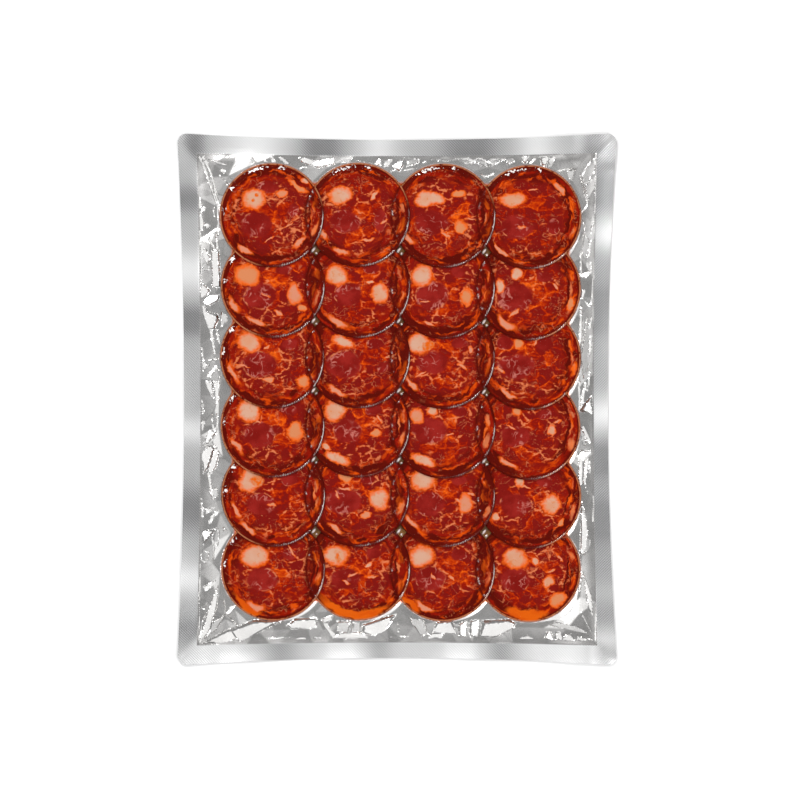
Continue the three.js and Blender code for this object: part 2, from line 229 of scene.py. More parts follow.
# Thin folds: the width, and the points along the fold.
FOLDS = [
    (1.15, [(-87.7, 107.6), (-85.5, 102.7), (-82.9, 94.7), (-79.5, 85.2), (-79.2, 78.3),
        (-79.5, 73.4)]),
    (1.15, [(-86, 107.6), (-83.3, 102.3), (-81.6, 96.5), (-80.5, 90.7), (-79.2, 86.7)]),
    (0.76, [(-81.1, 85.4), (-81.6, 83.6), (-81, 81.4)]),
    (0.71, [(-83.1, 17.4), (-79.5, 17.9)]),
    (0.71, [(-79.1, 9.4), (-77.5, 11.2)]),
    (0.80, [(-81.9, -6.6), (-82.3, -9.7), (-81.6, -12.8)]),
    (0.80, [(-80.1, -6.6), (-79.7, -9.7), (-80, -12.8)]),
    (0.71, [(-80.8, 14.8), (-79.1, 13)]),
    (0.80, [(-79.5, -57.6), (-79.2, -60.7), (-79.8, -64.7)]),
    (0.80, [(-81.7, -57.6), (-82.2, -61.6), (-81.3, -65.6), (-81.7, -71.4)]),
    (0.71, [(-87.7, -73.2), (-87.9, -89.2)]),
    (0.71, [(-87.9, -90.9), (-88, -106.9)]),
    (0.67, [(-87.2, 68.1), (-87.2, 52.5)]),
    (0.62, [(-76.8, -89.2), (-76, -95.2), (-70.2, -101.2)]),
    (0.67, [(-84, -93.6), (-86.6, -98.9), (-87.2, -106.1)]),
    (0.67, [(-57.7, -106.2), (-47.1, -106.2)]),
    (0.62, [(-45.5, -106.3), (-40.9, -106.3)]),
    (0.62, [(-37.8, -105.9), (-34.2, -106.1)]),
    (0.71, [(-2.7, -105.6), (4.9, -105.3)]),
    (0.67, [(0.4, -99.8), (0.6, -103.4)]),
    (0.67, [(88.5, 108.9), (88.4, 97.4), (87.9, 85.8)]),
    (0.71, [(81.5, 99.5), (82.4, 95.2), (83.2, 90.7), (84.6, 88.5)]),
    (0.67, [(85.1, 98.3), (84.2, 94.7), (83.7, 91.2)]),
    (0.76, [(88.2, 95.4), (86.2, 92.5), (84.8, 89.6), (84.4, 86.3), (82.9, 83.8), (81.7, 82.3)]),
    (0.67, [(82.4, 79.4), (83.5, 76.7), (83.2, 74.3), (82.4, 70.7)]),
    (0.67, [(85.1, 69.6), (87.2, 70.9)]),
    (0.71, [(85.3, 70.7), (85.8, 66.3), (84.4, 62.3)]),
    (0.76, [(86.8, 53.5), (86.6, 42.6), (85.2, 41.6), (82.8, 45)]),
    (0.67, [(82, 16.8), (82.6, 12.1), (83.1, 6.3)]),
    (0.62, [(85.3, 15.7), (84.1, 12.5)]),
    (0.67, [(83.5, 3.2), (84.8, 5.9), (84.6, 2.8)]),
    (0.67, [(83.5, -37.2), (84.2, -39.9), (85.2, -42.5)]),
    (0.71, [(87.1, -43), (87.1, -54.1)]),
    (0.67, [(88.3, -83.8), (88.5, -94.5), (88.2, -106.9)]),
    (0.62, [(76.2, -84.1), (75.8, -87)]),
    (0.67, [(81.6, -94.9), (82.5, -93.8)]),
    (0.67, [(11.5, 105.2), (14.8, 106.7), (22.6, 105.9), (27.4, 106.7), (31.8, 107),
        (34, 105.7), (36.4, 107), (40.4, 105.1), (42.2, 106.7), (44.4, 106.5)]),
    (0.67, [(30.2, 104.9), (35.5, 104.6), (39.6, 103.3), (43.1, 104.3), (48.5, 106.7)]),
    (0.84, [(37.5, 99.6), (39.6, 98.8), (43.1, 100.2)]),
    (0.62, [(3.1, 101.8), (8.9, 102.7)]),
    (0.62, [(-17.9, 106.1), (-13.8, 105.4), (-9.8, 104.9)]),
    (0.62, [(-42.9, 102.7), (-42.2, 103.4), (-40.4, 103.2)]),
    (0.62, [(-78.6, 99.2), (-75.1, 95.6)]),
]
FLANK = 0.9  # the slope at a facet's upper edge
FOLD_SLOPE = 0.32
FACET_LOOPS = (1.0, 0.72)  # the rings of mesh points on a facet, as shares of its size
FACET_SPACING = 0.45
FOLD_SPACING = 0.4

# The made-up creases between the folds: their points' distances from each other, from the seal
# and from a rim, the tries to place them, and some of their heights as shares of the crumple.
CREASE_SEED = 11
OUTER_SPACING = 30.0
CREASE_APART = 5.5
CREASE_TRIES = 9000
CREASE_FROM_SEAL = 1.2
CREASE_FROM_RIM = 0.3
SEAL_LINE_STEPS = (4, 9)  # millimetres from one crease point to the next along the seal's line
SEAL_LINE_HEIGHT = 0.1
UNDER_SLICE_HEIGHT = 0.3

# The foil drawn up against the free lower right rims. Angles are from +X, in degrees.
CRESCENT_SLOPE = 0.27
CORNER_CRESCENT = {"range": (-105, -3), "thin": 0.5, "wide": 3.4, "middle": -47, "spread": 17}
RIGHT_CRESCENT = {"range": (-70, -2), "thin": 0.3, "gain": 1.6, "grows": (-4, -50)}
BOTTOM_CRESCENT = {"range": (-100, -30), "thin": 0.4, "gain": 1.1, "grows": (-88, -45)}

FOIL = 0.4
# Where the margin begins, and from a slice's rim where its crumple fades out; where a fold is
# this high, the made-up creases have ended.
MARGIN_START = (SEAL_WIDTH - 0.4, SEAL_WIDTH + 0.2)
RIM_FADE = (-0.6, 0.3)
CREASE_END = 0.04
# From the pack's edge, where the seal's steps fade out, and how far they may dip.
STEP_FADE = (4.5, 13.5)
SEAL_DIP = -0.1
SLICE_FLOOR = 0.5
ROWS = 6
COLUMNS = 4
ROW_PITCH = 0.866  # between a mesh grid's rows, in spacings
# The seeds of the made-up noises.
SEEDS = {"slice": 3, "tent": 8, "wrinkle": 21, "line": 31, "fleck": 12}
# A slice's rounded edge: its width and drop, what both gain at the upper left, and its bearing.
SHOULDER_WIDTH = (1.5, 2.0)
SHOULDER_DROP = (0.7, 0.5)
SHOULDER_BEARING = math.radians(125)
UNDER_EDGE = (0.3, 0.8)  # how far a slice's lower edge is rounded up, and how wide
DRAPE = 1.5  # how far past a rim beneath a slice comes down from it
SLICE_BUMPS = 0.06
SLICE_BUMP_LENGTH = 3.5

FILM_OVER_FOIL = 0.1
FILM_OVER_SLICE = 0.12
FILM_BEND = 0.12
FILM_REACH = 5.0
RIM_SAMPLE = 0.02  # how far inside a rim the film beyond it reads the slice's height
FILM_FALL = 1.8  # the film falls this far over a tent's length
TENT_RANGE = (0.6, 1.2)  # a tent's least length and what it gains, as shares of the usual
TENT_TURNS = 3.5  # the tents' noise features per radian round a rim
TENT_SHIFTS = (7, 3)  # how far a row and a column move that noise
FILM_WRINKLE = 0.10
FILM_WRINKLE_LENGTH = 2.2
WRINKLE_FADE = (SEAL_WIDTH, SEAL_WIDTH + 2)

# The highlight painted on the film just inside a slice's rim: where it lies, its half width, and
# how its breaks run. Angles are from +X, in degrees: each arc fades in and out between two pairs.
LINE_INSET = 0.4
LINE_WIDTH = 0.115
LINE_BREAKS = {"length": 3.5, "gain": 2.2, "shift": -0.3, "range": (0.1, 1.1)}
RIGHT_ARC = ((-38, -33), (-4, 8))
BOTTOM_ARC = ((-98, -62), (-46, -43))
BOTTOM_ARC_SHARE = 0.7
LEFT_ARC = (28, 36)  # from -X, where the film dips over the rim beneath
LEFT_ARC_SHARE = 0.55
LEFT_ARC_FLECKS = (1.1, 0.66, 0.8)  # the flecks' length, and the noise where they start and end
# The oil on the foil: the distances from the nearest rim and the next where it ends close to a
# rim and in a notch, and how strong it is there; and where the pockets' oil and painted shade end.
OIL_CLOSE = (0.1, 0.6)
OIL_NOTCH = ((0.3, 1.6), (0.5, 2.2))
OIL_SHARES = (0.4, 0.9)
POCKET_FADE = (2.5, 5.0)
# The highlights painted on the film in a pocket: offset right and up from its middle, half length,
# half width.
POCKET_GLINTS = [(-0.8, 0.3, 0.85, 0.33), (0.35, -1.1, 0.3, 0.2)]
POCKET_GLINT_TURN = (0.8, 0.6)
POCKET_GLINT_STRENGTH = 2.0
# Where highlights are painted on the film near the rims of the top row and the left column: the
# angle from +X and its half width, and for both how far inside the rim and how wide.
TOP_FLECKS = [(108, 14), (78, 5)]
LEFT_FLECKS = [(146, 6), (175, 4)]
FLECK_INSET = 1.6
FLECK_WIDTH = 0.9


def slice_node(row, column):
    """The name of a slice's solid."""
    return f"slice_r{row + 1}_c{column + 1}"


def measured_slices():
    """Each slice's middle and mean radius in millimetres, from its solid."""
    found = {}
    for row in range(ROWS):
        for column in range(COLUMNS):
            low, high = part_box(slice_node(row, column))
            middle = [(low[i] + high[i]) / 2 / MM for i in range(2)]
            radius = (high[0] - low[0] + high[1] - low[1]) / 4 / MM
            found[row, column] = (middle[0], middle[1], radius)
    return found


SLICES = measured_slices()


# ---------------------------------------------------------------- small tools
def smoothstep(low, high, value):
    """0 before `low` and 1 past `high`, smooth between; `high` may be the lower of the two."""
    share = np.clip((value - low) / (high - low), 0.0, 1.0)
    return share * share * (3 - 2 * share)


def arc_share(angle, fade_in, fade_out):
    """1 along an arc, fading at its two ends."""
    return smoothstep(*fade_in, angle) * (1 - smoothstep(*fade_out, angle))


def soft_max(a, b, softness):
    """The larger of two fields, with the crease between them rounded."""
    share = np.clip(0.5 + 0.5 * (a - b) / softness, 0.0, 1.0)
    return b * (1 - share) + a * share + softness * share * (1 - share)


def lattice_noise(x, y, seed):
    """Smooth noise from 0 to 1 with a feature a unit across."""
    cell_x = np.floor(x).astype(np.int64)
    cell_y = np.floor(y).astype(np.int64)
    fx = x - cell_x
    fy = y - cell_y
    fx = fx * fx * (3 - 2 * fx)
    fy = fy * fy * (3 - 2 * fy)

    def corner(i, j):
        mixed = (cell_x + i) * 374761393 + (cell_y + j) * 668265263 + seed * 2147483647
        mixed = (mixed ^ (mixed >> 13)) * 1274126177
        return ((mixed ^ (mixed >> 16)) & 0xFFFF) / 65535.0

    lower = corner(0, 0) * (1 - fx) + corner(1, 0) * fx
    upper = corner(0, 1) * (1 - fx) + corner(1, 1) * fx
    return lower * (1 - fy) + upper * fy


# ---------------------------------------------------------------- the pack's outline
def side_inset(gap, along, half, bow):
    """How far inside one bowed side a point lies, whose bow fades with that distance."""
    bowed = bow * np.clip(1 - (along / (half - CORNER)) ** 2, 0, 1)
    return (gap - bowed) / (1 - bowed / BOW_REACH)


def pack_inset(x, y):
    """How far inside the pack's edge each point lies."""
    across = np.minimum(
        side_inset(x + HALF_WIDTH, y, HALF_LENGTH, BOW["left"]),
        side_inset(HALF_WIDTH - x, y, HALF_LENGTH, BOW["right"]),
    )
    along = np.minimum(
        side_inset(HALF_LENGTH - y, x, HALF_WIDTH, BOW["top"]),
        side_inset(y + HALF_LENGTH, x, HALF_WIDTH, BOW["bottom"]),
    )
    nearest = np.minimum(across, along)
    radius = np.maximum(CORNER - nearest / 2, LEAST_CORNER)
    rounded = radius - np.hypot(radius - across, radius - along)
    return np.where((across < radius) & (along < radius), rounded, nearest)


def loop_inside(inset, spacing):
    """A closed loop of points, anticlockwise, `inset` inside the pack's edge."""
    radius = max(CORNER - inset / 2, LEAST_CORNER)
    x, y = HALF_SIZE - inset - radius
    share = max(0.0, 1 - inset / BOW_REACH)
    arc = np.linspace(0, math.pi / 2, max(3, int(radius * math.pi / 2 / spacing * 2)) + 1)
    arc_points = radius * np.stack([np.cos(arc), np.sin(arc)], 1)
    quarter = np.array([[0, 1], [-1, 0]])
    corners = []
    for turn, middle in enumerate([(x, y), (-x, y), (-x, -y), (x, -y)]):
        corners.append(arc_points @ np.linalg.matrix_power(quarter, turn) + middle)
    inward = {"top": (0, -1), "left": (1, 0), "bottom": (0, 1), "right": (-1, 0)}
    points = []
    for corner, following, side in zip(corners, corners[1:] + corners[:1], inward):
        start, end = corner[-1], following[0]
        count = int(np.linalg.norm(end - start) / spacing)
        t = np.linspace(0, 1, count + 1)[1:-1, None]
        bulge = 4 * t * (1 - t) * BOW[side] * share * np.array(inward[side])
        points += [corner, start * (1 - t) + end * t + bulge]
    return np.concatenate(points)


# ---------------------------------------------------------------- the rim and its seal
def by_side(x, y, read):
    """What `read` gives along the nearer long side and along the nearer end of the pack."""
    side = np.where(x < 0, read(y, "left"), read(y, "right"))
    end = np.where(y < 0, read(x, "bottom"), read(x, "top"))
    return side, end


def sine_wave(along, side):
    """One side's wave, from -1 to 1."""
    length, climb = WAVES[side]
    return np.sin(2 * math.pi * (along - climb) / length)


def rim_lift(x, y, inset):
    """How far the sealed rim stands off the table, as in the solids."""
    edge = np.clip(1 - inset / RIM_REACH, 0, 1) ** 2
    near_side = np.abs(x / HALF_WIDTH) ** RIM_POWER
    near_end = np.abs(y / HALF_LENGTH) ** RIM_POWER
    side_wave, end_wave = by_side(x, y, sine_wave)
    along = near_side * side_wave + near_end * end_wave
    return edge * (RIM_RISE + CORNER_RISE * near_side * near_end + RIM_WAVE * along)


def foil_underside(x, y):
    """The height of the foil's back."""
    return rim_lift(x, y, pack_inset(x, y))


def painted_band_light(along, side):
    """The light and shade painted along one side of the seal."""
    tone = np.full_like(along, PAINTED_BAND_LEVELS[side])
    for place, width, strength in BANDS[side]:
        tone += PAINTED_BAND_CONTRAST * strength * np.exp(-(((along - place) / width) ** 2))
    return tone


def painted_seal_light(x, y):
    """The painted light on the seal, from 0 in its dark bands to 1 in its bright ones."""
    near_side = smoothstep(0.0, CORNER_BLEND, (np.abs(x) - HALF_WIDTH) - (np.abs(y) - HALF_LENGTH))
    side, end = by_side(x, y, painted_band_light)
    return np.clip(side * near_side + end * (1 - near_side), 0, 1)


def band_height(along, side):
    """The gentle steps along one side of the seal, whose slopes make its bright bands."""
    height = 0
    for place, width, strength in BANDS[side]:
        height = height + max(strength, 0.0) * width * np.tanh((along - place) / width)
    return BAND_SLOPE * height


def seal_steps(x, y, inset):
    """The steps of all four sides. A left or right band leans up the pack, the others left."""
    near_side = smoothstep(*SIDE_BLEND, np.abs(x / HALF_WIDTH))
    near_end = smoothstep(*END_BLEND, np.abs(y / HALF_LENGTH))
    side, end = by_side(x, y, band_height)
    share = near_side + near_end + TINY
    blended = (near_end * end - near_side * side) / share * np.minimum(share, 1)
    blended = blended * (1 - near_side * near_end)
    return blended * (1 - smoothstep(SEAL_WIDTH, SEAL_WIDTH + BAND_FADE, inset))


# ---------------------------------------------------------------- the margin's folds
def rim_distance(key, x, y):
    """How far outside a slice's rim each point lies; inside it is negative."""
    middle_x, middle_y, radius = SLICES[key]
    return np.hypot(x - middle_x, y - middle_y) - radius


def rim_angle(key, x, y):
    """The angle of each point round a slice's middle, from +X in radians."""
    middle_x, middle_y, _ = SLICES[key]
    return np.arctan2(y - middle_y, x - middle_x)


def nearest_rims(x, y):
    """The distances outside the nearest two slices."""
    away = np.sort(np.stack([rim_distance(key, x, y) for key in SLICES]), axis=0)
    return away[0], away[1]


def triangles_of(points):
    """The Delaunay triangles of flat points, as rows of three indices."""
    flat = [Vector((float(x), float(y))) for x, y in points]
    _, _, faces, origins, _, _ = delaunay_2d_cdt(flat, [], [], 0, MERGE_GAP)
    lookup = np.array([origin[0] for origin in origins])
    faces = np.array([face for face in faces if len(face) == 3])
    return lookup[faces]


class CreaseMap:
    """A crumpled surface of flat facets between points of given height."""

    def __init__(self, points, heights):
        self.points = np.asarray(points)
        self.heights = np.asarray(heights)
        self.faces = triangles_of(self.points)

    def height(self, x, y):
        """The height of the facet over each point, and 0 outside all of them."""
        result = np.zeros_like(x)
        order = np.argsort(x)
        sorted_x = x[order]
        for face in self.faces:
            (ax, ay), (bx, by), (cx, cy) = self.points[face]
            first = np.searchsorted(sorted_x, min(ax, bx, cx))
            last = np.searchsorted(sorted_x, max(ax, bx, cx), side="right")
            near = order[first:last]
            px, py = x[near] - ax, y[near] - ay
            area = (bx - ax) * (cy - ay) - (by - ay) * (cx - ax)
            if abs(area) < TINY:
                continue
            share_b = (px * (cy - ay) - py * (cx - ax)) / area
            share_c = (py * (bx - ax) - px * (by - ay)) / area
            inside = (share_b >= -TINY) & (share_c >= -TINY) & (share_b + share_c <= 1 + TINY)
            base, height_b, height_c = self.heights[face]
            values = base + share_b * (height_b - base) + share_c * (height_c - base)
            result[near[inside]] = values[inside]
        return result


@functools.lru_cache
def margin_creases(crumple):
    """The soft facets of the crumpled margin, between the seal and the slices."""
    rng = np.random.default_rng(CREASE_SEED)
    points, heights = [], []

    def put(x, y, height):
        points.append((x, y))
        heights.append(height)

    for x, y in loop_inside(0.0, OUTER_SPACING):
        put(x, y, 0.0)
    loop = loop_inside(SEAL_WIDTH, 1.0)
    at = 0
    while at < len(loop):
        put(*loop[at], SEAL_LINE_HEIGHT * crumple * rng.random())
        at += int(rng.uniform(*SEAL_LINE_STEPS))
    tries = rng.uniform(-1, 1, (CREASE_TRIES, 2)) * HALF_SIZE
    first, _ = nearest_rims(*tries.T)
    from_seal = pack_inset(*tries.T) - SEAL_WIDTH
    for x, y in tries[(from_seal > CREASE_FROM_SEAL) & (first > CREASE_FROM_RIM)]:
        apart = np.hypot(*(np.array(points) - (x, y)).T).min()
        if apart > CREASE_APART:
            put(x, y, crumple * rng.random())
    for middle_x, middle_y, _ in SLICES.values():
        put(middle_x, middle_y, UNDER_SLICE_HEIGHT * crumple)
    return CreaseMap(points, heights)


def facet_heights(x, y):
    """The bright facets: planes that climb towards the slices and drop steeply at their top."""
    rise = np.zeros_like(x)
    for slope, corners in FACETS:
        corners = np.array(corners)
        middle = corners.mean(axis=0)
        _, _, axes = np.linalg.svd(corners - middle)
        uphill = axes[1] if axes[1] @ middle < 0 else -axes[1]
        reach = np.abs(corners - middle).max() + 1
        near = (np.abs(x - middle[0]) < reach) & (np.abs(y - middle[1]) < reach)
        places = np.column_stack([x[near], y[near]])
        height = slope * (places @ uphill - (corners @ uphill).min())
        for start, end in zip(corners, np.roll(corners, -1, axis=0)):
            along = (end - start) / np.linalg.norm(end - start)
            within = (places - start) @ np.array([-along[1], along[0]])
            height = np.minimum(height, FLANK * within)
        rise[near] = np.maximum(rise[near], height)
    return rise


def fold_heights(x, y):
    """The thin folds: ridges whose two flanks slope alike."""
    rise = np.zeros_like(x)
    for width, line in FOLDS:
        line = np.array(line)
        low, high = line.min(axis=0) - 1, line.max(axis=0) + 1
        near = (x > low[0]) & (x < high[0]) & (y > low[1]) & (y < high[1])
        places = np.column_stack([x[near], y[near]])
        away = np.full(len(places), np.inf)
        for start, end in zip(line, line[1:]):
            span = end - start
            share = np.clip((places - start) @ span / (span @ span), 0, 1)
            away = np.minimum(away, np.linalg.norm(places - start - share[:, None] * span, axis=1))
        rise[near] = np.maximum(rise[near], FOLD_SLOPE * (width / 2 - away))
    return rise


def spread_along(line, spacing):
    """Points along a line of corners."""
    points = []
    for start, end in zip(line, line[1:]):
        count = max(1, int(np.linalg.norm(end - start) / spacing))
        points.append(start + np.arange(count)[:, None] / count * (end - start))
    points.append(line[-1:])
    return np.concatenate(points)


def fold_points():
    """Mesh points along the folds' crests and feet, and round the facets."""
    points = []
    for width, line in FOLDS:
        line = np.array(line)
        slopes = np.gradient(line, axis=0)
        sideways = np.column_stack([-slopes[:, 1], slopes[:, 0]])
        sideways *= width / 2 / np.linalg.norm(sideways, axis=1)[:, None]
        for shift in (-1, 0, 1):
            points.append(spread_along(line + shift * sideways, FOLD_SPACING))
    for _, corners in FACETS:
        corners = np.array(corners)
        loop = np.concatenate([corners, corners[:1]])
        middle = corners.mean(axis=0)
        for share in FACET_LOOPS:
            points.append(spread_along(middle + (loop - middle) * share, FACET_SPACING))
    return np.concatenate(points)


def crescent_width(key, angle):
    """How wide the bright foil is along a slice's lower right rim, by the angle from +X."""
    row, column = key
    at_bottom, at_right = row == ROWS - 1, column == COLUMNS - 1
    if at_bottom and at_right:
        crescent = CORNER_CRESCENT
        bell = np.exp(-(((angle - crescent["middle"]) / crescent["spread"]) ** 2))
        low, high = crescent["range"]
        return crescent["thin"] * (angle > low) * (angle < high) + crescent["wide"] * bell
    if not (at_bottom or at_right):
        return 0 * angle
    crescent = RIGHT_CRESCENT if at_right else BOTTOM_CRESCENT
    width = crescent["thin"] + crescent["gain"] * smoothstep(*crescent["grows"], angle)
    low, high = crescent["range"]
    return width * (angle > low) * (angle < high)


# ---------------------------------------------------------------- the heights of all layers
class Surfaces:
    """The heights of the foil, the slices and the film over the pack, in millimetres."""

    def __init__(self, settings):
        self.creases = margin_creases(settings.crumple / MM)
        self.tent = settings.tent / MM
        self.thickness = settings.slice_thickness / MM
        self.step = settings.shingle_step / MM

    def foil(self, x, y):
        """The top of the foil: its rim, the seal's steps, and the margin's folds and creases."""
        inset = pack_inset(x, y)
        lift = rim_lift(x, y, inset)
        margin = smoothstep(*MARGIN_START, inset)
        steps = seal_steps(x, y, inset) * np.interp(inset, STEP_FADE, (1, 0))
        raised = np.maximum(facet_heights(x, y), fold_heights(x, y))
        crumple = self.creases.height(x, y) * (1 - smoothstep(0.0, CREASE_END, raised))
        raised = np.maximum(raised, self.skirt(x, y))
        nearest, _ = nearest_rims(x, y)
        outside = smoothstep(*RIM_FADE, nearest)
        sealed = FOIL + np.maximum(lift + steps, SEAL_DIP)
        return sealed + margin * outside * (crumple + raised)

    def skirt(self, x, y):
        """The foil drawn up towards the lower right rims, which makes bright crescents there."""
        rise = np.zeros_like(x)
        for key in SLICES:
            width = crescent_width(key, np.degrees(rim_angle(key, x, y)))
            away = np.clip(rim_distance(key, x, y), 0, None)
            rise = np.maximum(rise, CRESCENT_SLOPE * (width - away))
        return rise

    def climb(self, key, x, y):
        """How far a slice is lifted by the slices that it lies on."""
        row, column = key
        _, middle_y, radius = SLICES[key]
        result = np.zeros_like(x)
        if row + 1 < ROWS:
            pitch = middle_y - SLICES[row + 1, column][1]
            result += self.step / pitch * np.clip(middle_y + radius - y, 0, None)
        right = (row, column + 1)
        if right in SLICES:
            result += self.step * (1 - smoothstep(0.0, DRAPE, rim_distance(right, x, y)))
        return result

    def shoulder(self, key, x, y):
        """How far a slice's top has dropped near its rim."""
        towards = 0.5 + 0.5 * np.cos(rim_angle(key, x, y) - SHOULDER_BEARING)
        width = SHOULDER_WIDTH[0] + SHOULDER_WIDTH[1] * towards
        drop = SHOULDER_DROP[0] + SHOULDER_DROP[1] * towards
        share = np.clip(1 + rim_distance(key, x, y) / width, 0, 1)
        return drop * (1 - np.sqrt(np.clip(1 - share * share, 0, 1)))

    def slice_top(self, key, x, y):
        """The upper face of a slice."""
        lifted = SLICE_FLOOR + self.thickness + self.climb(key, x, y)
        noise = lattice_noise(x / SLICE_BUMP_LENGTH, y / SLICE_BUMP_LENGTH, SEEDS["slice"])
        return lifted + SLICE_BUMPS * (noise - 0.5) - self.shoulder(key, x, y)

    def slice_bottom(self, key, x, y):
        """The lower face of a slice, rounded up at its rim."""
        rise, width = UNDER_EDGE
        lifted = SLICE_FLOOR + self.climb(key, x, y)
        return lifted + rise * (1 - smoothstep(0, width, -rim_distance(key, x, y)))

    def film(self, x, y):
        """The top of the film: over the foil and the slices, with tents beside the rims."""
        top = self.foil(x, y) + FILM_OVER_FOIL
        for key, (middle_x, middle_y, radius) in SLICES.items():
            away = np.hypot(x - middle_x, y - middle_y)
            near = away < radius + FILM_REACH
            px, py, pa = x[near], y[near], away[near]
            scale = np.minimum(1.0, (radius - RIM_SAMPLE) / np.maximum(pa, TINY))
            rim_x = middle_x + (px - middle_x) * scale
            rim_y = middle_y + (py - middle_y) * scale
            height = self.slice_top(key, rim_x, rim_y) + FILM_OVER_SLICE
            angle = rim_angle(key, px, py)
            turned = angle * TENT_TURNS + TENT_SHIFTS[0] * key[0]
            level = angle * 0 + TENT_SHIFTS[1] * key[1] + 0.5
            wander = lattice_noise(turned, level, SEEDS["tent"])
            tent = self.tent * (TENT_RANGE[0] + TENT_RANGE[1] * wander)
            height = height - np.clip(pa - radius, 0, None) * (FILM_FALL / tent)
            top[near] = soft_max(height, top[near], FILM_BEND)
        length = FILM_WRINKLE_LENGTH
        wrinkle = np.abs(lattice_noise(x / length, y / length, SEEDS["wrinkle"]) - 0.5)
        return top + FILM_WRINKLE * wrinkle * smoothstep(*WRINKLE_FADE, pack_inset(x, y))


# ---------------------------------------------------------------- marks on the foil and the film
def junctions():
    """The middles of the pockets where four slices meet."""
    middles = []
    for row in range(ROWS - 1):
        for column in range(COLUMNS - 1):
            around = [(row, column), (row, column + 1), (row + 1, column), (row + 1, column + 1)]
            middles.append([sum(SLICES[key][axis] for key in around) / 4 for axis in range(2)])
    return middles


def oil_round_slices(x, y):
    """How oily the foil is, close to a rim and in the notches between two slices."""
    first, second = nearest_rims(x, y)
    close = 1 - smoothstep(*OIL_CLOSE, first)
    notch = (1 - smoothstep(*OIL_NOTCH[0], first)) * (1 - smoothstep(*OIL_NOTCH[1], second))
    return np.clip(OIL_SHARES[0] * close + OIL_SHARES[1] * notch, 0, 1)


def oil_and_shade_in_pockets(x, y):
    """The pockets where four slices meet, darkened by oil and by painted shade."""
    result = np.zeros_like(x)
    for middle_x, middle_y in junctions():
        away = np.hypot(x - middle_x, y - middle_y)
        result = np.maximum(result, 1 - smoothstep(*POCKET_FADE, away))
    return result


def painted_rim_glints(x, y):
    """The highlights painted on the film along the free rims, over the rims beneath and in pockets.
    """
    result = np.zeros_like(x)
    length = LINE_BREAKS["length"]
    breaks = LINE_BREAKS["gain"] * lattice_noise(x / length, y / length, SEEDS["line"])
    broken = np.clip(breaks + LINE_BREAKS["shift"], *LINE_BREAKS["range"])
    fleck_length, fleck_low, fleck_high = LEFT_ARC_FLECKS
    flecks = lattice_noise(x / fleck_length, y / fleck_length, SEEDS["fleck"])
    flecked = smoothstep(fleck_low, fleck_high, flecks)
    for key in SLICES:
        row, column = key
        angle = np.degrees(rim_angle(key, x, y))
        line = np.exp(-(((rim_distance(key, x, y) + LINE_INSET) / LINE_WIDTH) ** 2))
        weight = np.zeros_like(x)
        if column < COLUMNS - 1:
            weight = np.maximum(weight, arc_share(angle, *RIGHT_ARC))
        if row < ROWS - 1:
            weight = np.maximum(weight, BOTTOM_ARC_SHARE * arc_share(angle, *BOTTOM_ARC))
        if column > 0:
            beneath = 1 - smoothstep(*LEFT_ARC, 180 - np.abs(angle))
            weight = np.maximum(weight, LEFT_ARC_SHARE * beneath * flecked)
        result = np.maximum(result, line * weight * broken)
    cosine, sine = POCKET_GLINT_TURN
    for middle_x, middle_y in junctions():
        for across, up, long, wide in POCKET_GLINTS:
            across, up = x - middle_x - across, y - middle_y - up
            turned = (cosine * across - sine * up) / wide, (sine * across + cosine * up) / long
            glint = np.exp(-(turned[0] ** 2) - turned[1] ** 2)
            result = np.maximum(result, POCKET_GLINT_STRENGTH * glint)
    return np.clip(result, 0, 1)


def painted_rim_flecks(x, y):
    """Where highlights are painted on the film just inside the top and left rims."""
    result = np.zeros_like(x)
    for key in SLICES:
        spots = (TOP_FLECKS if key[0] == 0 else []) + (LEFT_FLECKS if key[1] == 0 else [])
        angle = np.degrees(rim_angle(key, x, y))
        across = ((rim_distance(key, x, y) + FLECK_INSET) / FLECK_WIDTH) ** 2
        for at, width in spots:
            result = np.maximum(result, np.exp(-(((angle - at) / width) ** 2) - across))
    return result


# ---------------------------------------------------------------- meshes
def thinned(points, spacing):
    """The points in order, without any that falls in an earlier one's cell."""
    cells = np.floor(points / spacing).astype(np.int64)
    _, first = np.unique(cells, axis=0, return_index=True)
    return points[np.sort(first)]


def grid(low, high, spacing):
    """Staggered rows of points over a rectangle."""
    xs = np.arange(low[0], high[0], spacing)
    ys = np.arange(low[1], high[1], spacing * ROW_PITCH)
    x, y = np.meshgrid(xs, ys)
    x = x + (np.arange(len(ys)) % 2)[:, None] * spacing / 2
    return np.stack([x.ravel(), y.ravel()], 1)


def rim_circle(key, away, spacing):
    """Points round a slice, `away` outside its rim."""
    middle_x, middle_y, radius = SLICES[key]
    radius = radius + away
    count = max(8, int(2 * math.pi * radius / spacing))
    angle = np.arange(count) * 2 * math.pi / count
    return np.stack([middle_x + radius * np.cos(angle), middle_y + radius * np.sin(angle)], 1)


def pack_grid(spacing, least_inset):
    """Points over the whole pack, from `least_inset` inside its edge."""
    points = grid(-HALF_SIZE, HALF_SIZE, spacing)
    return points[pack_inset(*points.T) > least_inset]


def margin_points(least_inset, rim_away, spacing):
    """Points over the margin, from the seal to the slices' rims."""
    points = pack_grid(spacing, least_inset)
    first, _ = nearest_rims(*points.T)
    return points[first > rim_away]


def points_under_slices(rim_inset, spacing):
    """Points where the slices lie, from `rim_inset` inside their rims."""
    points = grid((-90, -110), (90, 110), spacing)
    first, _ = nearest_rims(*points.T)
    return points[first < -rim_inset]


def inside_loop(points, loop):
    """Which points lie inside a closed loop."""
    inside = np.zeros(len(points), bool)
    following = np.roll(loop, -1, axis=0)
    for (ax, ay), (bx, by) in zip(loop, following):
        crosses = (points[:, 1] < ay) != (points[:, 1] < by)
        if not crosses.any():
            continue
        at = ax + (points[crosses, 1] - ay) * (bx - ax) / (by - ay)
        inside[crosses] ^= points[crosses, 0] < at
    return inside


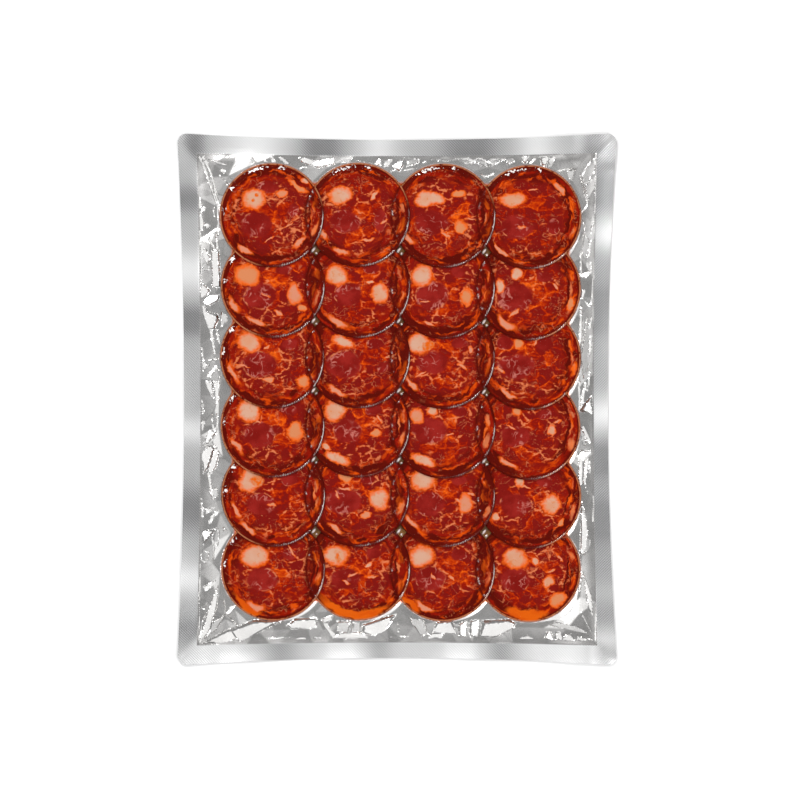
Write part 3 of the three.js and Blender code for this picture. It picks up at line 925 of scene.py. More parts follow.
def flat_mesh(border, interior):
    """Points and triangles that fill a border loop; the border's points come first."""
    points = np.concatenate([border, interior])
    faces = triangles_of(points)
    only_border = (faces < len(border)).all(axis=1)
    middles = points[faces[only_border]].mean(axis=1)
    keep = np.ones(len(faces), bool)
    keep[only_border] = inside_loop(middles, border)
    return points, faces[keep]


def closed_sheet(name, border, interior, top_height, bottom, underside=None):
    """A closed sheet between two heights, or of one thickness, welded round its border."""
    points, faces = flat_mesh(border, interior)
    low_points, low_faces = points, faces
    if underside is not None:
        low_points, low_faces = flat_mesh(border, underside)
    heights = top_height(*points.T)
    low_heights = bottom(*low_points.T) if callable(bottom) else heights - bottom
    high = np.column_stack([points, heights])
    low = np.column_stack([low_points, low_heights])
    count = len(points)
    ring = np.arange(len(border))
    following = np.roll(ring, -1)
    wall_low = np.column_stack([ring + count, following + count, following])
    wall_high = np.column_stack([ring + count, following, ring])
    triangles = np.concatenate([faces, low_faces[:, ::-1] + count, wall_low, wall_high])
    return mesh_object(name, np.concatenate([high, low]) * MM, triangles)


def mesh_object(name, points, triangles):
    """A smooth-shaded object of triangles, in metres."""
    mesh = bpy.data.meshes.new(name)
    mesh.vertices.add(len(points))
    mesh.vertices.foreach_set("co", points.astype(np.float32).ravel())
    mesh.loops.add(3 * len(triangles))
    mesh.loops.foreach_set("vertex_index", triangles.astype(np.int32).ravel())
    mesh.polygons.add(len(triangles))
    mesh.polygons.foreach_set("loop_start", np.arange(0, 3 * len(triangles), 3, dtype=np.int32))
    mesh.update(calc_edges=True)
    mesh.validate()
    mesh.shade_smooth()
    piece = bpy.data.objects.new(name, mesh)
    bpy.context.scene.collection.objects.link(piece)
    return piece


def mark(piece, marks):
    """Stores fields over x and y on a piece's points, for its material to read."""
    places = np.empty(3 * len(piece.data.vertices), np.float32)
    piece.data.vertices.foreach_get("co", places)
    x, y = places[0::3] / MM, places[1::3] / MM
    for name, field in marks.items():
        attribute = piece.data.attributes.new(name, "FLOAT", "POINT")
        attribute.data.foreach_set("value", field(x, y).astype(np.float32))


def sharpen_edges(piece, degrees):
    """Keeps the creases sharper than an angle crisp in the shading."""
    piece.data.set_sharp_from_angle(angle=math.radians(degrees))


# ---------------------------------------------------------------- shader maths
class Value:
    """A socket of a material, whose operators add Math nodes."""

    def __init__(self, graph, socket):
        self.graph = graph
        self.socket = socket

    def apply(self, operation, *others, flip=False, output=0):
        """What an operation makes of this value and others; `flip` puts this one last."""
        values = (*others, self) if flip else (self, *others)
        vector = self.socket.type in {"VECTOR", "RGBA"}
        kind = "ShaderNodeVectorMath" if vector else "ShaderNodeMath"
        sockets = dict(enumerate(values))
        return self.graph.node(kind, {"operation": operation}, sockets, output)

    def __add__(self, other):
        return self.apply("ADD", other)

    def __sub__(self, other):
        return self.apply("SUBTRACT", other)

    def __rsub__(self, other):
        return self.apply("SUBTRACT", other, flip=True)

    def __mul__(self, other):
        return self.apply("MULTIPLY", other)

    def __truediv__(self, other):
        return self.apply("DIVIDE", other)

    def __abs__(self):
        return self.apply("ABSOLUTE")

    def length(self):
        """A vector's length."""
        return self.apply("LENGTH", output=1)

    def step(self, low, high):
        """0 below `low` and 1 above `high`, smooth between; falls if `high` is lower."""
        ends = (low, high) if low < high else (high, low)
        levels = (0.0, 1.0) if low < high else (1.0, 0.0)
        sockets = {0: self, 1: ends[0], 2: ends[1], 3: levels[0], 4: levels[1]}
        settings = {"interpolation_type": "SMOOTHSTEP"}
        return self.graph.node("ShaderNodeMapRange", settings, sockets)


class Graph:
    """The nodes of a material or a world, made one call each."""

    def __init__(self, owner):
        self.owner = owner
        owner.use_nodes = True
        self.tree = owner.node_tree
        self.tree.nodes.clear()

    def node(self, kind, settings=None, sockets=None, output=0):
        """One node's output. The settings come first, and `stops` are a ramp's places and colours."""
        node = self.tree.nodes.new(kind)
        for name, setting in (settings or {}).items():
            if name == "stops":
                self.set_stops(node.color_ramp.elements, setting)
            else:
                setattr(node, name, setting)
        for key, value in (sockets or {}).items():
            socket = node.inputs[key]
            if isinstance(value, Value):
                self.tree.links.new(value.socket, socket)
            elif socket.type == "RGBA" and len(value) == 3:
                socket.default_value = (*value, 1.0)
            else:
                socket.default_value = value
        if not node.outputs:
            return node
        return Value(self, node.outputs[output])

    def set_stops(self, elements, stops):
        """Gives a ramp its places and colours."""
        while len(elements) < len(stops):
            elements.new(0.5)
        for element, (place, colour) in zip(elements, stops):
            element.position = place
            element.color = (*colour, 1.0)

    def ramp(self, value, stops):
        """A colour read off a ramp."""
        return self.node("ShaderNodeValToRGB", {"stops": stops}, {0: value})

    def mix(self, share, low, high):
        """One colour turning into another."""
        settings = {"data_type": "RGBA"}
        return self.node("ShaderNodeMix", settings, {0: share, 6: low, 7: high}, output=2)

    def noise(self, vector, scale, detail, distortion=0.0, output=0):
        """Noise from 0 to 1."""
        sockets = {"Vector": vector, "Scale": scale, "Detail": detail, "Distortion": distortion}
        return self.node("ShaderNodeTexNoise", {}, sockets, output)

    def noise_vector(self, vector, scale, detail):
        """Three noises from -0.5 to 0.5."""
        return self.noise(vector, scale, detail, output=1) - (0.5, 0.5, 0.5)

    def axis(self, vector, index):
        """One axis of a vector."""
        return self.node("ShaderNodeSeparateXYZ", {}, {0: vector}, output=index)

    def place(self):
        """The surface's place in the pack's own frame, in metres."""
        return self.node("ShaderNodeTexCoord", {}, {}, output=3)

    def mark(self, name):
        """A field stored on the mesh by `mark`."""
        return self.node("ShaderNodeAttribute", {"attribute_name": name}, {}, output=2)

    def bump(self, height, strength, distance):
        """A normal tilted by a fine relief."""
        sockets = {"Height": height, "Strength": strength, "Distance": distance}
        return self.node("ShaderNodeBump", {}, sockets)

    def principled(self, **sockets):
        """The material finished with a Principled shader; underscores stand for spaces."""
        named = {name.replace("_", " "): value for name, value in sockets.items()}
        return self.finish(self.node("ShaderNodeBsdfPrincipled", {}, named))

    def finish(self, shader, kind="ShaderNodeOutputMaterial"):
        """The owner with a shader at its output."""
        self.node(kind, {}, {"Surface": shader})
        return self.owner


# ---------------------------------------------------------------- what each slice shows
# Chunks of a slice's cut face, in slice radii from its middle: x, y, half length, half width and
# the tilt of the length in degrees.
# Streaks run along the rim: the angle from the bottom towards the right in degrees, the distance
# from the middle, the half length in degrees and the half width.
ANATOMY = {
    (0, 0): {
        "bite": [(-.3, .38, .03, .05, 20), (-.36, .28, .025, .03, 0), (-.16, .25, .035, .02, 0)],
        "fat": [(-.34, .32, .23, .20, 0), (.63, .65, .08, .04, -45)],
        "pink": [(.2, .42, .12, .07, -20)],
        "stained": [(.5, .54, .2, .05, -42)],
        "lean": [(-.07, .55, .2, .11, 0), (-.29, -.19, .28, .24, 10), (.42, .1, .1, .14, 0)],
        "streaks": {"pale": [(-39, .86, 12, .05), (46, .76, 12, .05)], "dark": [(0, .85, 30, .06)]},
    },
    (0, 1): {
        "fat": [(-.35, .36, .24, .15, 10), (.33, .39, .14, .04, 50)],
        "pink": [(.17, -.48, .12, .03, 15)],
        "lean": [(-.25, -.13, .29, .22, -5), (.43, -.12, .12, .2, 0)],
        "streaks": {"pale": [(-61, .78, 10, .05), (-24, .79, 12, .05)]},
    },
    (0, 2): {
        "fat": [(-.36, .31, .19, .16, 0), (-.17, .33, .17, .13, 0)],
        "stained": [(.28, .42, .14, .07, 0), (.33, -.21, .12, .13, 0)],
        "lean": [(-.23, -.14, .33, .23, 0)],
        "streaks": {"pale": [(-58, .8, 12, .05)], "dark": [(15, .85, 20, .05)]},
    },
    (0, 3): {
        "fat": [(-.32, .33, .25, .14, 5)],
        "pink": [(.59, .56, .14, .05, -45)],
        "lean": [(-.24, -.19, .3, .23, 0), (.47, -.19, .12, .15, 0)],
        "streaks": {"pale": [(-40, .84, 12, .04)], "dark": [(20, .85, 20, .05)]},
    },
    (1, 0): {
        "stained": [(-.49, .20, .26, .2, 0), (.58, -.45, .09, .06, 0)],
        "pink": [(.41, -.17, .14, .21, 10)],
        "lean": [(-.25, -.2, .31, .25, 0), (.2, .3, .16, .1, 0)],
        "streaks": {"pale": [(-63, .83, 12, .06), (-25, .76, 14, .05)]},
    },
    (1, 1): {
        "fat": [(-.42, .2, .2, .2, 0), (.41, -.14, .15, .21, 0), (.2, .08, .07, .04, 0)],
        "lean": [(-.2, -.15, .27, .22, 0), (.25, .33, .15, .1, 0)],
        "streaks": {"pale": [(-28, .81, 15, .07)], "dark": [(-28, .92, 18, .03)]},
    },
    (1, 2): {
        "fat": [(-.39, .22, .2, .2, 0)],
        "stained": [(.45, -.18, .12, .16, 0)],
        "lean": [(-.21, -.17, .31, .27, 0), (.3, .28, .15, .1, 0)],
        "streaks": {"pale": [(-22, .78, 10, .03)], "dark": [(10, .85, 18, .05)]},
    },
    (1, 3): {
        "fat": [(-.24, .28, .1, .12, 0), (-.56, .03, .08, .14, 0)],
        "stained": [(.8, -.28, .07, .13, -20)],
        "lean": [(-.26, -.18, .34, .27, 0), (.3, .22, .16, .1, 0)],
        "streaks": {"pale": [(-32, .82, 16, .07)]},
    },
    (2, 0): {
        "fat": [(-.47, .27, .22, .2, 0)],
        "stained": [(.58, -.48, .13, .1, 0)],
        "pink": [(-.06, -.47, .1, .04, 10)],
        "lean": [(-.25, -.16, .33, .24, 0), (.34, .24, .15, .1, 0)],
        "streaks": {"pale": [(-67, .81, 14, .05)]},
    },
    (2, 1): {
        "fat": [(-.3, .28, .22, .11, -20)],
        "lean": [(-.27, -.16, .32, .26, 0), (.33, .24, .17, .1, 0), (.48, -.22, .09, .09, 0)],
        "streaks": {"pale": [(-30, .8, 14, .05)], "dark": [(20, .8, 20, .05)]},
    },
    (2, 2): {
        "bite": [(-.29, .22, .11, .08, 0)],
        "fat": [(-.46, .27, .2, .22, 0)],
        "pink": [(.52, .12, .05, .08, 0)],
        "lean": [(-.2, -.11, .31, .22, 0), (.32, .26, .15, .1, 0)],
        "streaks": {"pale": [(-50, .8, 12, .05)]},
    },
    (2, 3): {
        "stained": [(-.19, .26, .08, .1, 0)],
        "lean": [(-.46, .29, .16, .12, 0), (.33, .25, .15, .1, 0), (-.25, -.17, .35, .23, 0)],
        "streaks": {"pale": [(-31, .79, 14, .05)]},
    },
    (3, 0): {
        "fat": [(-.46, .28, .22, .2, 0)],
        "stained": [(.44, -.1, .14, .2, 0)],
        "lean": [(-.25, -.18, .3, .24, 0), (.3, .3, .15, .1, 0)],
        "streaks": {"pale": [(-60, .8, 13, .05)]},
    },
    (3, 1): {
        "fat": [(-.46, .3, .21, .21, 0), (-.61, -.4, .12, .06, -40), (-.39, -.64, .24, .1, -20)],
        "stained": [(.36, -.15, .1, .07, 20)],
        "lean": [(-.2, -.12, .27, .22, 0), (.3, .3, .16, .1, 0)],
        "streaks": {"dark": [(10, .85, 25, .05)]},
    },
    (3, 2): {
        "fat": [(-.21, .33, .12, .1, 0), (-.4, -.64, .25, .1, -18)],
        "pink": [(-.5, .2, .12, .16, 20)],
        "lean": [(-.26, -.08, .34, .24, 0), (.3, .28, .15, .1, 0)],
        "streaks": {"dark": [(10, .88, 25, .05)]},
    },
    (3, 3): {
        "stained": [(-.21, .3, .1, .1, 0)],
        "fat": [(.44, -.06, .08, .08, 0)],
        "lean": [(-.25, -.16, .28, .2, 0), (.3, .25, .15, .1, 0)],
        "streaks": {"pale": [(-30, .8, 14, .05)]},
    },
    (4, 0): {
        "bite": [(-.33, .26, .13, .12, 0)],
        "fat": [(-.46, .27, .22, .22, 0)],
        "lean": [(-.25, -.18, .27, .2, 0), (.3, .28, .15, .1, 0)],
        "streaks": {"pale": [(-68, .78, 12, .05), (-37, .81, 12, .05)]},
    },
    (4, 1): {
        "stained": [(-.22, .31, .12, .1, 0)],
        "fat": [(.41, -.09, .18, .2, 0)],
        "pink": [(.19, -.38, .1, .06, 20)],
        "lean": [(-.27, -.13, .34, .24, 0), (.2, .3, .14, .09, 0)],
        "streaks": {"pale": [(-32, .8, 12, .04)]},
    },
    (4, 2): {
        "fat": [(-.38, .3, .25, .2, 0)],
        "pink": [(.42, -.17, .13, .18, 0)],
        "lean": [(-.25, -.18, .28, .22, 0), (.3, .28, .15, .1, 0)],
        "streaks": {"pale": [(-49, .8, 12, .05)]},
    },
    (4, 3): {
        "fat": [(-.19, .3, .1, .1, 0), (.42, -.14, .18, .18, 0), (-.63, -.38, .1, .06, -40)],
        "stained": [(.61, -.5, .1, .06, 40)],
        "lean": [(-.25, -.16, .3, .22, 0), (.3, .28, .15, .1, 0)],
        "streaks": {"dark": [(10, .85, 22, .05)]},
    },
    (5, 0): {
        "fat": [(-.36, .25, .25, .2, 0)],
        "lean": [(-.22, -.2, .3, .22, 0), (.3, .28, .14, .1, 0)],
        "streaks": {"pale": [(-25, .81, 14, .06)], "oil": [(-35, .9, 18, .06)]},
    },
    (5, 1): {
        "bite": [(-.4, .19, .045, .06, 0)],
        "fat": [(-.44, .26, .24, .18, 0), (.21, .09, .07, .05, 0)],
        "pink": [(-.12, -.12, .1, .03, 30), (-.22, -.28, .09, .03, -25)],
        "lean": [(-.25, -.2, .28, .2, 0), (.3, .28, .15, .1, 0)],
        "streaks": {"oil": [(-8, .9, 40, .08)]},
    },
    (5, 2): {
        "fat": [(-.4, .26, .24, .2, 0)],
        "lean": [(-.25, -.18, .28, .22, 0), (.3, .28, .15, .1, 0)],
        "streaks": {"pale": [(-27, .83, 14, .05)], "oil": [(-45, .92, 16, .05)]},
    },
    (5, 3): {
        "fat": [(-.26, .22, .22, .2, 0), (.13, .16, .08, .07, 0), (.37, -.23, .13, .1, 30)],
        "stained": [(.56, -.57, .17, .13, 40)],
        "lean": [(-.24, -.2, .28, .22, 0)],
        "streaks": {"oil": [(-2, .88, 24, .1)]},
    },
}


def stray_bits(key):
    """What every slice has: orange blazes, a dark line inside its right rim, painted shade along its
    lower left rim, and pink curls.
    """
    rng = np.random.default_rng(40 + 10 * key[0] + key[1])
    blazes = [(72, 0.885, 9, 0.05), (104, 0.86, 7, 0.04), (88, 0.8, 8, 0.022)]
    spread = np.array([6, 0.02, 2, 0.01])
    curls = []
    for _ in range(2):
        bearing, reach = rng.uniform(0, 2 * math.pi), rng.uniform(0.2, 0.62)
        size = rng.uniform(0.07, 0.13), rng.uniform(0.016, 0.028)
        place = reach * math.cos(bearing), reach * math.sin(bearing)
        curls.append((*place, *size, rng.uniform(-60, 60)))
    patches = [
        (rng.uniform(-70, 160), rng.uniform(0.8, 0.9), rng.uniform(5, 9), rng.uniform(0.03, 0.06))
        for _ in range(4)
    ]
    # A dark streak along the lower left rim: painted shade.
    lower_left_shade = (rng.uniform(-42, -34), rng.uniform(0.89, 0.93), rng.uniform(18, 27), 0.05)
    return {
        "dark": [(88 + rng.uniform(-8, 8), 0.76, 24, 0.026), lower_left_shade, *patches],
        "blaze": [tuple(np.array(blaze) + rng.uniform(-1, 1, 4) * spread) for blaze in blazes],
        "curls": curls,
    }


# ---------------------------------------------------------------- the slices' material
# Places and lengths are in slice radii from the slice's middle. A noise is given by its scale and
# its detail, and some by their distortion too.
SLICE_TURNS = (7.3, 3.1)  # how far a row and a column move the noises, so that no slice repeats
BIG_WARP = (4.0, 1.0)
SMALL_WARP = (15.0, 2.0)
CHUNK_BENDS = (0.16, 0.07)  # how far the big and the small warp bend the chunks of fat
LEAN_BENDS = (0.09, 0.03)
SWIRL_ROUND = 1.6
SWIRL_OUTWARD = 7.0
SWIRL = (1.0, 3.0)
FINE_SWIRL = (2.4, 2.4, 2.2)  # how much finer the second swirl is, round and outward
MOTTLE = (3.2, 3.0)
SPECKLE = (17.0, 3.0)
SPECKS = (11.0, 2.0)
BLOTCH = (3.1, 2.0, 0.6)
FIBRE = (10.0, 3.0, 0.8)
FIBRE_STRETCH = (1.0, 1.6, 1.0)
STROKES = (4.6, 2.0, 0.5)
VEINS = (5.6, 2.0, 0.6)
RIM_WAVES = (1.0, 2.0)
RIM_WAVE_ROUND = 1.3
CELLS = 4.2
CELL_STRETCH = (1.0, 1.3, 1.0)
# What each layer counts for in the paste's tone, and what is taken off towards the rim and
# everywhere; the tones at which its colours stand.
MARBLE = {"blotch": 0.62, "fibre": 0.42, "cell": 0.2, "glow": 0.09, "rim": 0.28, "all": 0.097}
MARBLE_STOPS = (0.38, 0.46, 0.53, 0.61, 0.70)


def chunk_field(graph, place, chunks):
    """How far out of its nearest chunk a point is, where 1 is a chunk's edge."""
    nearest = None
    for x, y, long, wide, tilt in chunks:
        sockets = {
            "Vector": place,
            "Location": (x, y, 0.0),
            "Rotation": (0.0, 0.0, math.radians(tilt)),
            "Scale": (long, wide, 1.0),
        }
        away = graph.node("ShaderNodeMapping", {"vector_type": "TEXTURE"}, sockets).length()
        nearest = away if nearest is None else nearest.apply("MINIMUM", away)
    return nearest


def free_sides(key):
    """The sides of a slice that face the margin: the sign and the axis of each."""
    row, column = key
    sides = []
    if column in (0, COLUMNS - 1):
        sides.append((-1 if column == 0 else 1, 0))
    if row in (0, ROWS - 1):
        sides.append((1 if row == 0 else -1, 1))
    return sides


class CutFace:
    """A slice's cut face. Each method lays one layer of it over the colour it is given."""

    def __init__(self, key, look):
        middle_x, middle_y, radius = SLICES[key]
        graph = Graph(bpy.data.materials.new("chorizo_" + slice_node(*key)))
        turn = SLICE_TURNS[0] * key[0] + SLICE_TURNS[1] * key[1]
        self.key = key
        self.look = look
        self.graph = graph
        self.turn = turn
        self.anatomy = ANATOMY[key]
        self.streaks = self.anatomy.get("streaks", {})
        self.strays = stray_bits(key)

        centre = (middle_x * MM, middle_y * MM, SLICE_FLOOR * MM)
        scale = 1 / (radius * MM)
        disc = (graph.place() - centre) * (scale, scale, scale)
        self.grain_place = disc + (turn, -turn, turn / 2)
        self.flat = disc * (1.0, 1.0, 0.0)
        self.warps = [
            graph.noise_vector(self.grain_place, *noise) for noise in (BIG_WARP, SMALL_WARP)
        ]
        self.warped = self.bent(CHUNK_BENDS)

        # Where a point is round the slice, in turns from the bottom towards the right.
        self.away = self.flat.length()
        warped_away = self.warped.length()
        down = graph.axis(self.warped, 1) * -1.0
        angle = graph.axis(self.warped, 0).apply("ARCTAN2", down) * (0.5 / math.pi)
        self.polar = graph.node("ShaderNodeCombineXYZ", {}, {0: angle, 1: warped_away})
        self.heading = self.warped.apply("NORMALIZE")

        # Tangential grain: noise on the direction from the middle and the distance from it.
        rings = graph.node("ShaderNodeCombineXYZ", {}, {2: warped_away * SWIRL_OUTWARD})
        round_rim = self.heading * (SWIRL_ROUND, SWIRL_ROUND, 0.0)
        swirl_place = round_rim + rings + (turn, turn, 0.0)
        self.swirl = graph.noise(swirl_place, *SWIRL)
        self.fine_swirl = graph.noise(swirl_place * FINE_SWIRL, *SWIRL)

        self.mottle = graph.noise(self.grain_place, *MOTTLE)
        self.speckle = graph.noise(self.grain_place, *SPECKLE)
        self.fibre = graph.noise(self.grain_place * FIBRE_STRETCH, *FIBRE)

    def bent(self, bends):
        """The place in the slice's plane, bent by shares of the two warps."""
        place = self.flat
        for warp, bend in zip(self.warps, bends):
            place = place + warp * (bend, bend, 0.0)
        return place

    def patches(self, scale, low, high):
        """Where a coarse noise is high."""
        return self.graph.noise(self.grain_place, scale, 1.0).step(low, high)

    def streak_field(self, streaks):
        """How far out of its nearest streak a point is, where 1 is a streak's edge."""
        chunks = [
            (angle / 360, reach, long / 360, wide, 0) for angle, reach, long, wide in streaks
        ]
        return chunk_field(self.graph, self.polar, chunks)

    def cells(self):
        """The paste's cells: a number of each one's own, and the distance from its edge."""
        place = self.warped * CELL_STRETCH + (self.turn, self.turn, 0.0)
        sockets = {"Vector": place, "Scale": CELLS}
        settings = {"voronoi_dimensions": "2D"}
        cell = self.graph.node("ShaderNodeTexVoronoi", settings, sockets, output=1)
        settings = {"voronoi_dimensions": "2D", "feature": "DISTANCE_TO_EDGE"}
        edge = self.graph.node("ShaderNodeTexVoronoi", settings, sockets)
        return self.graph.axis(cell, 0), edge

    def paste(self):
        """Dark and orange cells with glowing edges and pale seams, drawn out along the rim."""
        graph, look, fibre, fine_swirl = self.graph, self.look, self.fibre, self.fine_swirl
        own, edge = self.cells()
        blotch = graph.noise(self.warped + (self.turn, -self.turn, self.turn), *BLOTCH)
        marble = blotch * MARBLE["blotch"] + fibre * MARBLE["fibre"] + own * MARBLE["cell"]
        marble = marble + edge.step(0.16, 0.02) * MARBLE["glow"]
        marble = marble - self.away * MARBLE["rim"] - MARBLE["all"]
        inner = graph.ramp(marble, look.marble())
        clot = abs(fibre - 0.5).step(0.05, 0.01) * self.mottle.step(0.46, 0.6)
        inner = graph.mix(clot * 0.7, inner, look.lean)

        bands = graph.mix(self.swirl.step(0.42, 0.60), look.casing, look.grain)
        bands = graph.mix(fine_swirl.step(0.50, 0.66), bands, look.paste)
        bands = graph.mix(fine_swirl.step(0.62, 0.74) * 0.5, bands, look.orange)
        paste = graph.mix((self.away + self.mottle * 0.35).step(0.74, 1.04), inner, bands)
        ridge = abs(fine_swirl - 0.47).step(0.014, 0.004)
        broken = self.speckle.step(0.5, 0.62) * self.patches(2.4, 0.48, 0.6)
        paste = graph.mix(ridge * broken * 0.85, paste, look.vein)

        # Pale seams of fat between some of the cells.
        seam = (fibre * 0.26 - 0.05 - edge).step(-0.06, 0.07) * self.patches(2.6, 0.50, 0.60)
        seam = seam * fibre.step(0.38, 0.56)
        seam_tone = graph.mix(seam, look.orange, look.vein)
        paste = graph.mix(seam * self.away.step(0.86, 0.7) * 0.9, paste, seam_tone)

        # Thin strokes of fat.
        stroke_place = self.warped * (1.0, 1.5, 1.0) + (self.turn, self.turn, 3.0)
        strokes = abs(graph.noise(stroke_place, *STROKES) - 0.5).step(0.028, 0.0)
        return graph.mix(strokes * self.patches(3.3, 0.5, 0.6) * 0.5, paste, look.vein)

    def rim_streaks(self, colour):
        """Dark, orange and pale streaks along the rim; the dark one at the lower left is painted
        shade.
        """
        graph, look = self.graph, self.look
        blaze = graph.mix(self.fine_swirl.step(0.38, 0.62), look.red, look.orange)
        blaze = graph.mix(self.swirl.step(0.5, 0.64) * 0.6, blaze, look.stained)
        for kind in ("dark", "blaze", "pale"):
            streaks = self.streaks.get(kind, []) + self.strays.get(kind, [])
            if not streaks:
                continue
            field = self.streak_field(streaks)
            if kind == "pale":
                tone = graph.mix(field.step(0.45, 1.05), look.pink, look.orange)
            else:
                tone = look.casing if kind == "dark" else blaze
            colour = graph.mix(field.step(1.35, 0.7), colour, tone)
        return colour

    def lean(self, colour):
        """Lean chunks with pale veins and a pale outline."""
        graph, look = self.graph, self.look
        vein_place = self.warped + (self.turn, self.turn, 0.0)
        veins = abs(graph.noise(vein_place, *VEINS) - 0.5).step(0.05, 0.0)
        veined = self.patches(4.2, 0.47, 0.62)
        field = chunk_field(graph, self.bent(LEAN_BENDS), self.anatomy["lean"])
        tone = graph.mix(self.mottle.step(0.35, 0.7), look.lean, look.lean_light)
        tone = graph.mix(veins * veined * 0.8, tone, look.sinew)
        colour = graph.mix(field.step(1.16, 0.88), colour, tone)
        outline = abs(field - 1.0).step(0.08, 0.01) * veined * self.speckle.step(0.4, 0.6)
        return graph.mix(outline * 0.8, colour, look.vein)

    def fat(self, colour):
        """Fat, its edges stained by the paste and its face specked with it, and bites of paste."""
        graph, look = self.graph, self.look
        specks = graph.noise(self.grain_place, *SPECKS).step(0.58, 0.68)
        stains = self.mottle.step(0.35, 0.7) * 0.55 + specks * 0.5
        for kind, tone in (("pink", look.pink), ("stained", look.stained), ("fat", look.fat)):
            chunks = self.anatomy.get(kind, []) + (self.strays["curls"] if kind == "pink" else [])
            if not chunks:
                continue
            field = chunk_field(graph, self.warped, chunks) + (self.fibre - 0.5) * 0.5
            tone = graph.mix(stains, tone, look.stained)
            tone = graph.mix(field.step(0.5, 1.04), tone, look.orange)
            colour = graph.mix(field.step(1.22, 0.86), colour, tone)
        bites = self.anatomy.get("bite", [])
        if bites:
            tone = graph.mix(self.speckle.step(0.35, 0.65), look.oil, look.stained)
            field = chunk_field(graph, self.warped, bites)
            colour = graph.mix(field.step(1.2, 0.8), colour, tone)
        return colour

    def casing(self, colour):
        """The casing, wide and dark towards the upper left and thin elsewhere, and pools of oil."""
        graph, look = self.graph, self.look
        wave_place = self.heading * (RIM_WAVE_ROUND, RIM_WAVE_ROUND, 0.0) + (self.turn, 0.0, 0.0)
        wave = graph.noise(wave_place, *RIM_WAVES)
        upper_left = graph.axis(self.heading, 1) * 0.8 - graph.axis(self.heading, 0) * 0.6
        width = upper_left.step(-0.1, 1.0) * 0.08 + upper_left.step(0.0, -0.8) * 0.03
        width = width + (wave - 0.4) * 0.12 + self.speckle * 0.03 + 0.012
        colour = graph.mix((self.away + width).step(0.985, 1.02) * 0.92, colour, look.casing)
        pools = self.streaks.get("oil", [])
        if pools:
            tone = graph.mix(self.swirl.step(0.44, 0.64) * 0.45, look.oil, look.paste)
            colour = graph.mix(self.streak_field(pools).step(1.3, 0.8), colour, tone)
        return colour

    def shade_over_rim_beneath(self, colour):
        """Painted shade over the slice beneath, and a dark line of it along that slice's rim."""
        graph, look = self.graph, self.look
        beneath = self.key[0], self.key[1] + 1
        if beneath not in SLICES:
            return colour
        place, under = SLICES[self.key], SLICES[beneath]
        shift = [(under[axis] - place[axis]) / place[2] for axis in range(2)]
        reach = (self.flat - (*shift, 0.0)).length()
        # Painted shade where this slice lies over the one beneath.
        over = (1.0 - reach).step(0.0, 0.05) * self.swirl.step(0.60, 0.42)
        colour = graph.mix(over * 0.65, colour, look.casing)
        # A dark line of painted shade along the crease over the rim beneath.
        crease = abs(reach - 1.0).step(0.038, 0.01) * self.fibre.step(0.25, 0.45)
        return graph.mix(crease * 0.92, colour, look.casing)

    def skin(self, colour):
        """The casing's pale outer line on the sides that face the margin: partly its own pale edge,
        partly a painted highlight of the film there.
        """
        graph = self.graph
        outward = [graph.axis(self.heading, axis) * sign for sign, axis in free_sides(self.key)]
        if not outward:
            return colour
        free = functools.reduce(lambda one, other: one.apply("MAXIMUM", other), outward)
        # Partly the casing's pale edge and partly a painted highlight along the outer rims.
        skin = self.away.step(0.966, 0.982) * free.step(0.1, 0.5) * self.speckle.step(0.30, 0.50)
        return graph.mix(skin * 0.8, colour, self.look.stained)


def chorizo_material(key, look):
    """One slice's cut face: chunks of fat and lean in an orange paste, inside a dark casing."""
    face = CutFace(key, look)
    colour = face.paste()
    layers = (face.rim_streaks, face.lean, face.fat, face.casing, face.shade_over_rim_beneath, face.skin)
    for layer in layers:
        colour = layer(colour)
    relief = face.speckle + face.fine_swirl * 0.6
    return face.graph.principled(
        Base_Color=colour,
        Roughness=face.speckle.step(0.3, 0.7) * 0.2 + 0.35,
        Specular_IOR_Level=0.0,
        Normal=face.graph.bump(relief, 0.25, 0.0003),
    )


# ---------------------------------------------------------------- the other materials
# In metres: how far the seal's inner line is drawn in at the middle of a side and of an end, how
# softly it begins, and where the strip at the right begins whose hatch runs one way.
SEAL_BOWS = (0.0018, 0.0016)
SEAL_EDGE = (-0.0001, 0.0004)
RIGHT_STRIP = (0.014, 0.010)
FOIL_GRAIN = (900.0, 3.0)
FOIL_MOTTLE = (90.0, 3.0)
KNURL_BUMP = (0.6, 0.00008)
FLECK_BREAKS = (1100.0, 2.0)
FILM_HAZE = (500.0, 2.0)
FILM_INDEX = 1.5
FLOOR_GRAIN = (60.0, 3.0)


def seal_line(along, across, half_along, half_across, bow):
    """How far outside the seal's inner line a place is, for one pair of sides."""
    share = along / half_along
    bowed = (1.0 - share * share) * bow
    return abs(across) + bowed - (half_across - SEAL_WIDTH * MM)


